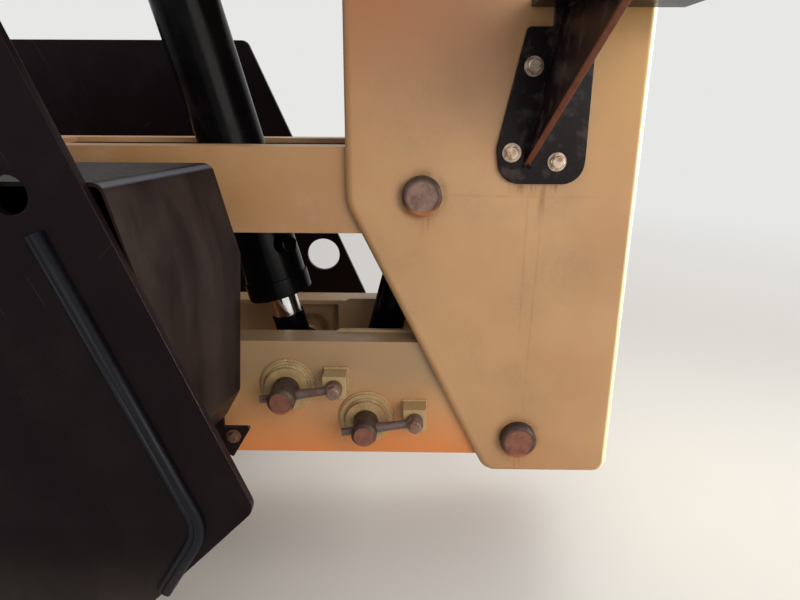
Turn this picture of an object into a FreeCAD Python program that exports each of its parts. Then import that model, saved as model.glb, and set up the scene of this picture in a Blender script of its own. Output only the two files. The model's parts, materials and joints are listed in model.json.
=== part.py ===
import FreeCAD, Part
import math
import os
import re
import Sketcher

# Tower linkage of an articulating boom lift on its turntable frame, in millimetres.
# +X runs towards the upright, the near side is -Y, and Z is up.
# The origin is the centre of the slewing bolt circle, on the underside of the base plate.

DRIVING_SIZES = {
    # Parallelogram: lower pin of the upright, link length, and the upper pin from the lower one.
    "lower_pin_x": 950, "lower_pin_z": 230, "link_length": 2050, "pivot_back": 159, "pivot_rise": 386,
    # Pins and running clearances.
    "main_pin_radius": 28.5, "lift_pin_radius": 21, "second_pin_radius": 19.5, "pin_gap": 0.05,
    "pin_stand_out": 18, "pin_chamfer": 4, "cylinder_pin_end": 198, "eye_side_gap": 5, "rod_gap": 0.05,
    # Slewing bolt circle and base plate of the frame.
    "base_thickness": 25, "base_rear": 350, "base_front": 1400, "base_half_width": 430,
    "slew_circle_radius": 280, "slew_bolt_radius": 8.75, "slew_bolt_count": 24,
    "swivel_bore_radius": 190,
    # Outer side plates of the frame.
    "side_plate_thickness": 12, "side_corner_back": 353, "side_corner_rise": 60,
    "side_top_back": 581, "side_top_rise": 640, "side_top_length": 600, "side_front_rise": 470,
    "side_corner_radius": 18, "far_corner_back": 277, "far_top_back": 533, "near_hole_back": 575,
    "near_hole_rise": 423, "near_hole_radius": 20, "far_hole_back": 380, "far_hole_rise": 164,
    "far_hole_radius": 38,
    # Inner plates that carry the links, and what ties the plates together.
    "inner_plate_gap": 8, "inner_plate_thickness": 20, "inner_foot_ahead": 260,
    "inner_foot_behind": 280, "inner_head_margin": 85, "inner_corner_radius": 60,
    "front_wall_thickness": 12, "front_wall_rise": 520, "tie_radius": 30, "tie_wall": 6,
    "tie_up": 250, "tie_low": 110, "rear_beam_length": 40, "rear_beam_height": 80,
    "rear_beam_wall": 6,
    # Guard box on the near side. Its faces slant back by guard_skew from the links to the side plate.
    "guard_inner_y": 205, "guard_wall": 5, "guard_length": 480, "guard_top_rise": 435, "guard_skew": 47,
    "guard_top_back": 439, "guard_knee_back": 409, "guard_knee_rise": 312,
    "guard_heel_back": 424, "guard_heel_rise": 107, "guard_floor_back": 451,
    "guard_floor_rise": 59, "guard_radius": 14, "guard_tab_thickness": 6, "guard_tab_ahead": 40,
    "guard_tab_below": 12, "guard_tab_point_ahead": 10, "guard_tab_point_below": 63,
    "guard_tab_back": 60, "guard_tab_rise": 50, "guard_tab_radius": 3,
    # Links: two channels each, with their open sides inwards.
    "link_half_width": 132, "beam_width": 50, "channel_wall": 8, "hub_radius": 46,
    "link_corner_radius": 34, "lower_drop": 40, "lower_rise": 155, "lower_end": 70,
    "floor_plate_length": 900, "floor_plate_back": 520, "upper_drop": 59, "upper_rise": 66,
    "upper_end": 62, "tie_plate_length": 300, "tie_plate_back": 760, "stub_inner_end": 50,
    "hub_gap": 0.3, "doubler_back": 309, "doubler_front_back": 62, "doubler_thickness": 8,
    "doubler_chamfer": 22, "doubler_overlap": 4, "weld_sink": 1,
    # Lift cylinder, from its rod pin on the lower link to its top pin on the upright.
    "lift_pin_back": 368, "lift_pin_rise": 80, "lift_top_back": 581, "lift_top_rise": 880,
    "lift_barrel_radius": 52, "lift_rod_radius": 25, "lift_eye_radius": 42, "lift_eye_width": 60,
    "lift_barrel_from": 120, "lift_gland_length": 30, "lift_rod_reach": 690,
    "lift_boss_radius": 35, "boss_height": 16, "collar_radius": 42, "collar_height": 6,
    "barrel_wall": 8, "gland_rim": 3, "rod_end_gap": 4, "port_reach": 68, "port_radius": 15,
    "port_rise": 206, "port_angle": 45, "port_plug_radius": 10, "port_plug_length": 8,
    # Second cylinder, beside it towards the upright.
    "second_pin_back": 243, "second_pin_rise": 25, "second_top_back": 72, "second_top_rise": 700,
    "second_barrel_radius": 30, "second_rod_radius": 15, "second_eye_radius": 30,
    "second_barrel_from": 56, "second_gland_length": 18, "second_rod_reach": 360,
    "second_boss_radius": 33,
    # Keepers of the two cylinder pins: a bar through the pin whose arm narrows to a bolted eye.
    "keeper_radius": 6, "keeper_root_radius": 8, "keeper_reach": 78, "keeper_rise": 12,
    "keeper_overhang": 36, "keeper_eye_radius": 13, "keeper_eye_width": 13, "keeper_bolt_radius": 6,
    "keeper_boss_size": 36, "keeper_boss_height": 35,
    # Upright: a U-section, closed towards +X.
    "upright_half_width": 150, "upright_wall": 10, "upright_front_back": 268,
    "upright_slant_top": 372, "upright_foot_back": 50, "upright_foot_drop": 64,
    "upright_rear": 148, "upright_foot_radius": 30, "upright_heel_radius": 22,
    "upright_shoulder_radius": 60, "upright_bend_radius": 12, "nose_start_rise": 700, "nose_reach": 646,
    "nose_low_rise": 815, "nose_high_rise": 945, "head_front_back": 150, "head_rise": 1085,
    "head_rear": 60, "head_drop": 95, "nose_radius": 40, "boom_pivot_rise": 1000,
    "boom_pivot_ahead": 15, "boom_bore_radius": 32, "boom_boss_radius": 58,
    "boom_boss_height": 14, "brace_radius": 30, "brace_rise": 790, "brace_ahead": 70,
    # Bolted bracket on the near face of the upright.
    "bracket_thickness": 8, "bracket_notch_back": 24, "bracket_notch_rise": 608,
    "bracket_notch_radius": 6, "bracket_neck_ahead": 10, "bracket_low_back": 57,
    "bracket_low_rise": 450, "bracket_foot_back": 50, "bracket_foot_rise": 404,
    "bracket_foot_ahead": 64, "bracket_side_ahead": 67, "bracket_side_rise": 440,
    "bracket_radius": 30, "rib_thickness": 8, "rib_foot_back": 14, "rib_foot_rise": 428,
    "rib_height": 215, "rib_stand": 292, "rib_nose": 14, "rib_lean": 11.4, "shelf_rise": 632,
    "shelf_thickness": 10, "shelf_length": 200, "shelf_back": 20, "shelf_depth": 300,
}

doc = FreeCAD.newDocument("tower_linkage")
sheet = doc.addObject("Spreadsheet::Sheet", "Sizes")
for row, (alias, value) in enumerate(DRIVING_SIZES.items(), start=1):
    sheet.set("A%d" % row, alias)
    sheet.set("B%d" % row, str(value))
    sheet.setAlias("B%d" % row, alias)
doc.recompute()

ALONG_Y = FreeCAD.Rotation(FreeCAD.Vector(1, 0, 0), -90)
SEAM_DOWN = ALONG_Y * FreeCAD.Rotation(FreeCAD.Vector(0, 0, 1), 90)
UNTURNED = FreeCAD.Rotation()
TOUCH = 0.01
NODES = []


def bound(text):
    """Return an expression with each size's name pointed at its cell."""
    def point(word):
        return "Sizes." + word[0] if word[0] in DRIVING_SIZES else word[0]
    return re.sub(r"[a-z][a-z0-9_]*", point, text)


def measure(text):
    """Return the number that an expression of sizes gives now."""
    return float(sheet.evalExpression(bound(text)))


def place(thing, x="0", y="0", z="0", turn=UNTURNED):
    """Turn an object and bind its place to the sizes."""
    thing.Placement = FreeCAD.Placement(FreeCAD.Vector(), turn)
    for axis, text in zip("xyz", (x, y, z)):
        thing.setExpression("Placement.Base." + axis, bound(text))
    return thing


def sized(kind, name, **sizes):
    """Add a primitive whose properties are bound to the sizes."""
    thing = doc.addObject(kind, name)
    for key, text in sizes.items():
        thing.setExpression(key, bound(text))
    return thing


def block(name, length, width, height, x, y, z):
    """Add a box with its low corner at x, y, z."""
    return place(sized("Part::Box", name, Length=length, Width=width, Height=height), x, y, z)


def bar(name, radius, length, x, y, z, turn=ALONG_Y):
    """Add a round bar that starts at x, y, z and runs along +Y."""
    return place(sized("Part::Cylinder", name, Radius=radius, Height=length), x, y, z, turn)


def fused(name, *things):
    """Join objects into one solid."""
    joined = doc.addObject("Part::MultiFuse", name)
    joined.Shapes = list(things)
    joined.Refine = True
    return joined


def cut(name, base, *tools):
    """Take one or more tools from a base."""
    result = doc.addObject("Part::Cut", name)
    result.Base = base
    result.Tool = tools[0] if len(tools) == 1 else fused(name + "_tools", *tools)
    result.Refine = True
    return result


def node(thing, name):
    """Name a finished sub-part, whose label names its file."""
    thing.Label = name
    NODES.append(thing)
    return thing


def outline(body, name, corners, holes=(), role="XZ_Plane"):
    """Sketch a closed outline of straight sides, with round holes, on one of the body's own planes."""
    sketch = body.newObject("Sketcher::SketchObject", name)
    plane = [item for item in body.Origin.OriginFeatures if item.Role == role][0]
    sketch.AttachmentSupport = [(plane, "")]
    sketch.MapMode = "FlatFace"

    def hold(geometry, point, across, up):
        for kind, text in (("DistanceX", across), ("DistanceY", up)):
            row = sketch.addConstraint(Sketcher.Constraint(kind, -1, 1, geometry, point, measure(text)))
            sketch.setExpression("Constraints[%d]" % row, bound(text))

    points = [FreeCAD.Vector(measure(across), measure(up), 0) for across, up in corners]
    for start, end in zip(points, points[1:] + points[:1]):
        sketch.addGeometry(Part.LineSegment(start, end))
    for index, (across, up) in enumerate(corners):
        sketch.addConstraint(Sketcher.Constraint("Coincident", index, 2, (index + 1) % len(points), 1))
        hold(index, 1, across, up)
    for across, up, radius in holes:
        middle = FreeCAD.Vector(measure(across), measure(up), 0)
        ring = sketch.addGeometry(Part.Circle(middle, FreeCAD.Vector(0, 0, 1), measure(radius)))
        hold(ring, 3, across, up)
        row = sketch.addConstraint(Sketcher.Constraint("Radius", ring, measure(radius)))
        sketch.setExpression("Constraints[%d]" % row, bound(radius))
    return sketch


def padded(body, sketch, width):
    """Pad a sketch equally to both sides of its plane."""
    pad = body.newObject("PartDesign::Pad", sketch.Name + "_pad")
    pad.Profile = sketch
    pad.Midplane = True
    pad.setExpression("Length", bound(width))
    return pad


def rounded(body, base, name, corners, radius):
    """Round the edges along Y that stand at the given corners."""
    doc.recompute()
    spots = [(measure(across), measure(up)) for across, up in corners]
    edges = []
    for index, edge in enumerate(base.Shape.Edges, start=1):
        ends = [(vertex.X, vertex.Z) for vertex in edge.Vertexes]
        if any(all(math.dist(end, spot) < TOUCH for end in ends) for spot in spots):
            edges.append("Edge%d" % index)
    fillet = body.newObject("PartDesign::Fillet", name)
    fillet.Base = (base, edges)
    fillet.setExpression("Radius", bound(radius))
    return fillet


def bent(body, name, x, radius):
    """Round the upright edges of a body that stand along Z at x."""
    doc.recompute()
    base = body.Tip
    edges = []
    for index, edge in enumerate(base.Shape.Edges, start=1):
        ends = [vertex.Point for vertex in edge.Vertexes]
        if len(ends) == 2 and all(abs(end.x - measure(x)) < TOUCH for end in ends):
            if abs(ends[0].y - ends[1].y) < TOUCH:
                edges.append("Edge%d" % index)
    fillet = body.newObject("PartDesign::Fillet", name)
    fillet.Base = (base, edges)
    fillet.setExpression("Radius", bound(radius))
    body.Tip = fillet
    return body


def plate(name, corners, width, y, holes=(), rounds=()):
    """Make a flat plate or thick profile, centred at y, with some corners rounded."""
    body = doc.addObject("PartDesign::Body", name)
    feature = padded(body, outline(body, name + "_outline", corners, holes), width)
    for index, (spots, radius) in enumerate(rounds):
        chosen = [corners[spot] for spot in spots]
        feature = rounded(body, feature, "%s_round_%d" % (name, index), chosen, radius)
    body.Tip = feature
    return place(body, "0", y, "0")


def from_pin(back, rise):
    """Return a place given by its distances back from and above the upright's lower pin."""
    return "lower_pin_x - (%s)" % back, "lower_pin_z + (%s)" % rise


def pin(name, radius, length, x, y, z):
    """Add a round pin along +Y with both ends chamfered."""
    core = bar(name + "_core", radius, "%s - 2 * pin_chamfer" % length, x, "%s + pin_chamfer" % y, z,
               SEAM_DOWN)
    ends = []
    for side, start, low, high in (("low", y, "%s - pin_chamfer" % radius, radius),
                                   ("high", "%s + %s - pin_chamfer" % (y, length), radius,
                                    "%s - pin_chamfer" % radius)):
        end = sized("Part::Cone", "%s_%s" % (name, side), Radius1=low, Radius2=high, Height="pin_chamfer")
        ends.append(place(end, x, start, z, SEAM_DOWN))
    return fused(name, core, *ends)


def tube(name, outer, bore, length, x, y, z):
    """Add a tube along +Y."""
    return cut(name, bar(name + "_outside", outer, length, x, y, z),
               bar(name + "_bore", bore, length, x, y, z))


LOWER_PIVOT = ("lower_pin_x - link_length", "lower_pin_z")
UPPER_PIVOT = ("lower_pin_x - link_length - pivot_back", "lower_pin_z + pivot_rise")
LOWER_JOINT = ("lower_pin_x", "lower_pin_z")
UPPER_JOINT = from_pin("pivot_back", "pivot_rise")
LIFT_FOOT = from_pin("lift_pin_back", "lift_pin_rise")
LIFT_TOP = from_pin("lift_top_back", "lift_top_rise")
SECOND_FOOT = from_pin("second_pin_back", "second_pin_rise")
SECOND_TOP = from_pin("second_top_back", "second_top_rise")
MAIN_BORE = "main_pin_radius + pin_gap"
LIFT_BORE = "lift_pin_radius + pin_gap"
SECOND_BORE = "second_pin_radius + pin_gap"
INSIDE = "base_half_width - side_plate_thickness"
INNER_FACE = "link_half_width + inner_plate_gap"
HUB_END = "%s - hub_gap" % INNER_FACE
PIN_END = "upright_half_width + pin_stand_out"
EYE_SIDE = "lift_eye_width / 2 + eye_side_gap"


def base_plate():
    """Base plate with its ring of slewing bolt holes and the bore for the swivel."""
    body = doc.addObject("PartDesign::Body", "base_plate")
    corners = (("-base_front", "-base_half_width"), ("base_rear", "-base_half_width"),
               ("base_rear", "base_half_width"), ("-base_front", "base_half_width"))
    sketch = outline(body, "base_outline", corners, (("0", "0", "swivel_bore_radius"),), "XY_Plane")
    pad = body.newObject("PartDesign::Pad", "base_pad")
    pad.Profile = sketch
    pad.setExpression("Length", bound("base_thickness"))
    hole = body.newObject("Sketcher::SketchObject", "slew_hole")
    plane = [item for item in body.Origin.OriginFeatures if item.Role == "XY_Plane"][0]
    hole.AttachmentSupport = [(plane, "")]
    hole.MapMode = "FlatFace"
    middle = FreeCAD.Vector(measure("slew_circle_radius"), 0, 0)
    hole.addGeometry(Part.Circle(middle, FreeCAD.Vector(0, 0, 1), measure("slew_bolt_radius")))
    hole.addConstraint(Sketcher.Constraint("PointOnObject", 0, 3, -1))
    row = hole.addConstraint(Sketcher.Constraint("DistanceX", -1, 1, 0, 3, middle.x))
    hole.setExpression("Constraints[%d]" % row, bound("slew_circle_radius"))
    row = hole.addConstraint(Sketcher.Constraint("Radius", 0, measure("slew_bolt_radius")))
    hole.setExpression("Constraints[%d]" % row, bound("slew_bolt_radius"))
    pocket = body.newObject("PartDesign::Pocket", "slew_pocket")
    pocket.Profile = hole
    pocket.Reversed = True
    pocket.setExpression("Length", bound("base_thickness"))
    doc.recompute()
    ring = body.newObject("PartDesign::PolarPattern", "slew_ring")
    ring.Originals = [pocket]
    ring.Axis = ([item for item in body.Origin.OriginFeatures if item.Role == "Z_Axis"][0], [""])
    ring.Angle = 360
    ring.setExpression("Occurrences", bound("slew_bolt_count"))
    body.Tip = ring
    node(body, "base_plate")


def side_plates():
    """Outer side plates, whose rear edges slant, each with a round hole."""
    middle = "(base_half_width - side_plate_thickness / 2)"
    for side, sign, corner, top, hole in (
            ("near", "-", "side_corner_back", "side_top_back",
             from_pin("near_hole_back", "near_hole_rise") + ("near_hole_radius",)),
            ("far", "", "far_corner_back", "far_top_back",
             from_pin("far_hole_back", "far_hole_rise") + ("far_hole_radius",))):
        rear = from_pin(corner, "side_corner_rise")
        head = from_pin(top, "side_top_rise")
        corners = (("-base_front", "base_thickness"),
                   ("%s - (%s - base_thickness)" % rear, "base_thickness"),
                   rear, head, ("%s - side_top_length" % head[0], head[1]),
                   ("-base_front", "lower_pin_z + side_front_rise"))
        name = "side_plate_" + side
        node(plate(name, corners, "side_plate_thickness", sign + middle, (hole,),
                   (((2, 3, 4), "side_corner_radius"),)), name)


def inner_plates():
    """Inner plates that carry both link pivots."""
    corners = (("%s + inner_foot_ahead" % LOWER_PIVOT[0], "base_thickness"),
               ("%s + inner_head_margin" % UPPER_PIVOT[0], "%s + inner_head_margin" % UPPER_PIVOT[1]),
               ("%s - inner_head_margin" % UPPER_PIVOT[0], "%s + inner_head_margin" % UPPER_PIVOT[1]),
               ("%s - inner_foot_behind" % LOWER_PIVOT[0], "base_thickness"))
    holes = (LOWER_PIVOT + (MAIN_BORE,), UPPER_PIVOT + (MAIN_BORE,))
    middle = "(%s + inner_plate_thickness / 2)" % INNER_FACE
    for side, sign in (("near", "-"), ("far", "")):
        name = "inner_plate_" + side
        node(plate(name, corners, "inner_plate_thickness", sign + middle, holes,
                   (((1, 2), "inner_corner_radius"),)), name)


def frame_ties():
    """Front wall, rear beam and round ties between the frame's plates."""
    node(block("front_wall_block", "front_wall_thickness", "2 * (%s)" % INSIDE, "front_wall_rise",
               "-base_front", "-(%s)" % INSIDE, "base_thickness"), "front_wall")
    low = ("base_rear - rear_beam_length", "-(%s)" % INSIDE, "base_thickness")
    outside = block("rear_beam_outside", "rear_beam_length", "2 * (%s)" % INSIDE, "rear_beam_height", *low)
    inside = block("rear_beam_inside", "rear_beam_length - 2 * rear_beam_wall", "2 * (%s)" % INSIDE,
                   "rear_beam_height - 2 * rear_beam_wall", "%s + rear_beam_wall" % low[0], low[1],
                   "%s + rear_beam_wall" % low[2])
    node(cut("rear_beam_tube", outside, inside), "rear_beam")
    ties = []
    length = "%s - (%s + inner_plate_thickness)" % (INSIDE, INNER_FACE)
    for level, z in (("low", "lower_pin_z - tie_low"), ("high", "lower_pin_z + tie_up")):
        for side, y in (("near", "-(%s)" % INSIDE), ("far", "%s + inner_plate_thickness" % INNER_FACE)):
            ties.append(tube("tie_%s_%s" % (level, side), "tie_radius", "tie_radius - tie_wall", length,
                             UPPER_PIVOT[0], y, z))
    node(fused("ties", *ties), "cross_ties")


def guard_box():
    """Folded cover between the near side plate and the links, open towards the side plate."""
    def profile(grow):
        top = "guard_top_rise - %s" % grow
        return (from_pin("guard_top_back + %s" % grow, top),
                from_pin("guard_knee_back + %s" % grow, "guard_knee_rise"),
                from_pin("guard_heel_back + %s" % grow, "guard_heel_rise"),
                from_pin("guard_floor_back + %s" % grow, "guard_floor_rise + %s" % grow),
                from_pin("guard_top_back + guard_length - %s" % grow, "guard_floor_rise + %s" % grow),
                from_pin("guard_top_back + guard_length - %s" % grow, top))

    def skewed(name, grow, radius, y):
        body = doc.addObject("PartDesign::Body", name)
        pad = padded(body, outline(body, name + "_outline", profile(grow)), width)
        pad.UseCustomVector = True
        pad.Direction = FreeCAD.Vector(measure("guard_skew"), measure(width), 0)
        pad.AlongSketchNormal = True
        doc.recompute()
        folds = [(measure(across), measure(up)) for across, up in (profile(grow)[spot] for spot in (0, 2, 3))]
        lean = measure("guard_skew / 2") + TOUCH
        edges = []
        for index, edge in enumerate(pad.Shape.Edges, start=1):
            ends = [vertex.Point for vertex in edge.Vertexes]
            if abs(ends[0].y - ends[-1].y) > TOUCH and any(
                    all(abs(end.x - x) < lean and abs(end.z - z) < TOUCH for end in ends) for x, z in folds):
                edges.append("Edge%d" % index)
        fillet = body.newObject("PartDesign::Fillet", name + "_folds")
        fillet.Base = (pad, edges)
        fillet.setExpression("Radius", bound(radius))
        body.Tip = fillet
        return place(body, "-guard_skew / 2 * (1 + 2 * (%s) / (%s))" % (y, width), "%s + %s" % (middle, y))

    width = "(%s - guard_inner_y)" % INSIDE
    middle = "-(%s + guard_inner_y) / 2" % INSIDE
    shell = cut("guard_shell", skewed("guard_outside", "0", "guard_radius", "0"),
                skewed("guard_inside", "guard_wall", "guard_radius - guard_wall", "-guard_wall"))
    corner = from_pin("guard_floor_back", "guard_floor_rise")
    ahead, below = ("%s + guard_tab_ahead" % corner[0], "%s - guard_tab_below" % corner[1])
    top = "%s + guard_tab_rise" % corner[1]
    tip = ("%s + guard_tab_point_ahead" % corner[0], "%s - guard_tab_point_below" % corner[1])
    behind = "%s - guard_tab_back" % corner[0]
    tab = plate("guard_tab",
                ((behind, top), (behind, below), tip, (ahead, below), (corner[0], below), (corner[0], top)),
                "guard_tab_thickness", "-guard_inner_y - guard_tab_thickness / 2", (),
                (((2, 3), "guard_tab_radius"),))
    node(fused("guard", shell, tab), "guard_box")


def frame_pins():
    """Pins of both links in the frame."""
    end = "%s + inner_plate_thickness + pin_stand_out" % INNER_FACE
    for name, (x, z) in (("frame_pin_lower", LOWER_PIVOT), ("frame_pin_upper", UPPER_PIVOT)):
        node(pin(name + "_bar", "main_pin_radius", "2 * (%s)" % end, x, "-(%s)" % end, z), name)


def link_beams(name, left, right, drop, rise, end):
    """Two channels with their webs outwards, rounded at all four corners."""
    def profile(inset):
        return (("%s - %s + %s" % (left[0], end, inset), "%s - %s + %s" % (left[1], drop, inset)),
                ("%s + %s - %s" % (right[0], end, inset), "%s - %s + %s" % (right[1], drop, inset)),
                ("%s + %s - %s" % (right[0], end, inset), "%s + %s - %s" % (right[1], rise, inset)),
                ("%s - %s + %s" % (left[0], end, inset), "%s + %s - %s" % (left[1], rise, inset)))
    every = (0, 1, 2, 3)
    outside = plate(name + "_outside", profile("0"), "2 * link_half_width", "0", (),
                    ((every, "link_corner_radius"),))
    gap = plate(name + "_gap", profile("-channel_wall"), "2 * (link_half_width - beam_width)", "0")
    channel = plate(name + "_channel", profile("channel_wall"), "2 * (link_half_width - channel_wall)", "0",
                    (), ((every, "link_corner_radius - channel_wall"),))
    return cut(name + "_beams", outside, gap, channel)


def stub_tubes(name, radius, inner, outer, x, z):
    """Add a pair of round bosses, one on each side, between two distances from the middle."""
    length = "%s - (%s)" % (outer, inner)
    return [bar(name + "_near", radius, length, x, "-(%s)" % outer, z),
            bar(name + "_far", radius, length, x, inner, z)]


def doublers():
    """Doubler plates that close the lower link's channels around its pins near the upright."""
    left, right = "lower_pin_x - doubler_back", "lower_pin_x - doubler_front_back"
    low, high = "lower_pin_z - lower_drop", "lower_pin_z + lower_rise + doubler_overlap"
    corners = ((left, low), (right, low), (right, high), ("%s + doubler_chamfer" % left, high),
               (left, "%s - doubler_chamfer / 2" % high))
    middle = "(link_half_width - beam_width + doubler_thickness / 2 - weld_sink)"
    return [plate("doubler_" + side, corners, "doubler_thickness", sign + middle)
            for side, sign in (("near", "-"), ("far", ""))]


def lower_link():
    """Lower link with its hubs, its cylinder bosses with their outer collars, and its floor plate."""
    parts = [link_beams("lower", LOWER_PIVOT, LOWER_JOINT, "lower_drop", "lower_rise", "lower_end")]
    for name, (x, z) in (("lower_hub_frame", LOWER_PIVOT), ("lower_hub_upright", LOWER_JOINT)):
        parts.append(bar(name, "hub_radius", "2 * (%s)" % HUB_END, x, "-(%s)" % HUB_END, z))
    for name, (x, z), radius in (("lift_boss", LIFT_FOOT, "lift_boss_radius"),
                                 ("second_boss", SECOND_FOOT, "second_boss_radius")):
        parts.extend(stub_tubes(name, radius, EYE_SIDE, "link_half_width + boss_height", x, z))
        parts.extend(stub_tubes(name + "_collar", "collar_radius", "link_half_width - channel_wall",
                                "link_half_width + collar_height", x, z))
    parts.extend(doublers())
    reach = "link_half_width - beam_width + weld_sink"
    parts.append(block("lower_floor", "floor_plate_length", "2 * (%s)" % reach, "channel_wall",
                       "lower_pin_x - floor_plate_back - floor_plate_length", "-(%s)" % reach,
                       "lower_pin_z - lower_drop"))
    for name, (x, z) in (("lift_keeper", LIFT_FOOT), ("second_keeper", SECOND_FOOT)):
        parts.append(block(name + "_boss", "keeper_boss_size", "keeper_boss_height", "keeper_boss_size",
                           "%s + keeper_reach - keeper_boss_size / 2" % x,
                           "-link_half_width - keeper_boss_height",
                           "%s + keeper_rise - keeper_boss_size / 2" % z))
    bores = []
    for name, (x, z), radius in (("frame", LOWER_PIVOT, MAIN_BORE), ("upright", LOWER_JOINT, MAIN_BORE),
                                 ("lift", LIFT_FOOT, LIFT_BORE), ("second", SECOND_FOOT, SECOND_BORE)):
        bores.append(bar("lower_bore_" + name, radius, "4 * link_half_width", x, "-2 * link_half_width", z))
    node(cut("lower_weldment", fused("lower_parts", *parts), *bores), "lower_link")


def cylinder_pins():
    """Pins of both cylinders on the lower link, as stubs, and the keeper that crosses each near stub."""
    level = "-link_half_width - keeper_boss_height - keeper_eye_width / 2"
    slope = "keeper_rise / keeper_reach"
    turn = FreeCAD.Rotation(FreeCAD.Vector(0, 1, 0), 90 - measure("atan(%s)" % slope))
    for name, (x, z), radius in (("lift", LIFT_FOOT, "lift_pin_radius"),
                                 ("second", SECOND_FOOT, "second_pin_radius")):
        start = ("%s - keeper_overhang" % x, level, "%s - keeper_overhang * %s" % (z, slope))

        def across(label, bore):
            return place(sized("Part::Cylinder", "%s_%s" % (name, label), Radius=bore,
                               Height="keeper_overhang + %s" % radius), *start, turn)

        def arm(label, root, tip):
            piece = sized("Part::Cone", "%s_%s" % (name, label), Radius1=root, Radius2=tip,
                          Height="keeper_reach")
            return place(piece, x, level, z, turn)

        length = "cylinder_pin_end - (%s)" % EYE_SIDE
        near = cut(name + "_near_crossed", pin(name + "_near", radius, length, x, "-cylinder_pin_end", z),
                   across("cross_hole", "keeper_radius + pin_gap"),
                   arm("arm_hole", "keeper_root_radius + pin_gap", "keeper_radius + pin_gap"))
        far = pin(name + "_far", radius, length, x, EYE_SIDE, z)
        node(fused(name + "_stubs", near, far), name + "_pin")
        eye = ("%s + keeper_reach" % x, "%s - keeper_eye_width / 2" % level, "%s + keeper_rise" % z)
        solid = fused(name + "_keeper_solid", across("keeper_stub", "keeper_radius"),
                      arm("keeper_arm", "keeper_root_radius", "keeper_radius"),
                      bar(name + "_keeper_eye", "keeper_eye_radius", "keeper_eye_width", *eye))
        hole = bar(name + "_keeper_hole", "keeper_bolt_radius", "keeper_eye_width", *eye)
        node(cut(name + "_keeper_bar", solid, hole), name + "_keeper")


def upper_link():
    """Upper link: one hub across at the frame, two short hubs at the upright, and a tie plate."""
    beams = link_beams("upper", UPPER_PIVOT, UPPER_JOINT, "upper_drop", "upper_rise", "upper_end")
    parts = [beams, bar("upper_hub_frame", "hub_radius", "2 * (%s)" % HUB_END, UPPER_PIVOT[0],
                        "-(%s)" % HUB_END, UPPER_PIVOT[1])]
    parts.extend(stub_tubes("upper_hub", "hub_radius", "stub_inner_end", "link_half_width", *UPPER_JOINT))
    reach = "link_half_width - beam_width + weld_sink"
    for name, z in (("low", "%s - upper_drop" % UPPER_JOINT[1]),
                    ("high", "%s + upper_rise - channel_wall" % UPPER_JOINT[1])):
        parts.append(block("upper_tie_" + name, "tie_plate_length", "2 * (%s)" % reach, "channel_wall",
                           "lower_pin_x - tie_plate_back - tie_plate_length", "-(%s)" % reach, z))
    bores = []
    for name, (x, z) in (("frame", UPPER_PIVOT), ("upright", UPPER_JOINT)):
        bores.append(bar("upper_bore_" + name, MAIN_BORE, "4 * link_half_width", x, "-2 * link_half_width", z))
    node(cut("upper_weldment", fused("upper_parts", *parts), *bores), "upper_link")


def upright():
    """Upright: a folded U-section closed at its rear, with a nose that carries the lift cylinder."""
    corners = (from_pin("upright_foot_back", "-upright_foot_drop"),
               from_pin("-upright_rear", "-upright_foot_drop"),
               from_pin("-upright_rear", "head_rise - head_drop"), from_pin("-head_rear", "head_rise"),
               from_pin("head_front_back", "head_rise"), from_pin("nose_reach", "nose_high_rise"),
               from_pin("nose_reach", "nose_low_rise"), from_pin("upright_front_back", "nose_start_rise"),
               from_pin("upright_front_back", "upright_slant_top"))
    outside = plate("upright_outside", corners, "2 * upright_half_width", "0", (),
                    (((0,), "upright_foot_radius"), ((1,), "upright_heel_radius"),
                     ((8,), "upright_shoulder_radius"), ((3, 4, 5, 6, 7), "nose_radius")))
    outside = bent(outside, "upright_bends", "lower_pin_x + upright_rear", "upright_bend_radius")
    inner = "upright_half_width - upright_wall"
    spare = "2 * upright_half_width"
    core = block("upright_core", "nose_reach + upright_rear - upright_wall + %s" % spare, "2 * (%s)" % inner,
                 "head_rise + upright_foot_drop + 2 * %s" % spare,
                 "lower_pin_x - nose_reach - %s" % spare, "-(%s)" % inner,
                 "lower_pin_z - upright_foot_drop - %s" % spare)
    parts = [cut("upright_shell", outside, core)]
    wall = "%s + upright_wall / 2" % inner
    for name, (x, z), radius in (("lift_head", LIFT_TOP, "lift_boss_radius"),
                                 ("second_head", SECOND_TOP, "second_boss_radius")):
        parts.extend(stub_tubes(name, radius, EYE_SIDE, wall, x, z))
    boom = from_pin("-boom_pivot_ahead", "boom_pivot_rise")
    parts.extend(stub_tubes("boom_boss", "boom_boss_radius", inner,
                            "upright_half_width + boom_boss_height", *boom))
    brace = from_pin("-brace_ahead", "brace_rise")
    parts.append(bar("upright_brace", "brace_radius", "2 * (%s)" % wall, brace[0], "-(%s)" % wall, brace[1]))
    bores = []
    for name, (x, z), radius in (("lower", LOWER_JOINT, MAIN_BORE), ("upper", UPPER_JOINT, MAIN_BORE),
                                 ("lift", LIFT_TOP, LIFT_BORE), ("second", SECOND_TOP, SECOND_BORE),
                                 ("boom", boom, "boom_bore_radius")):
        bores.append(bar("upright_bore_" + name, radius, "4 * upright_half_width", x,
                         "-2 * upright_half_width", z))
    node(cut("upright_weldment", fused("upright_parts", *parts), *bores), "upright")


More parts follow.
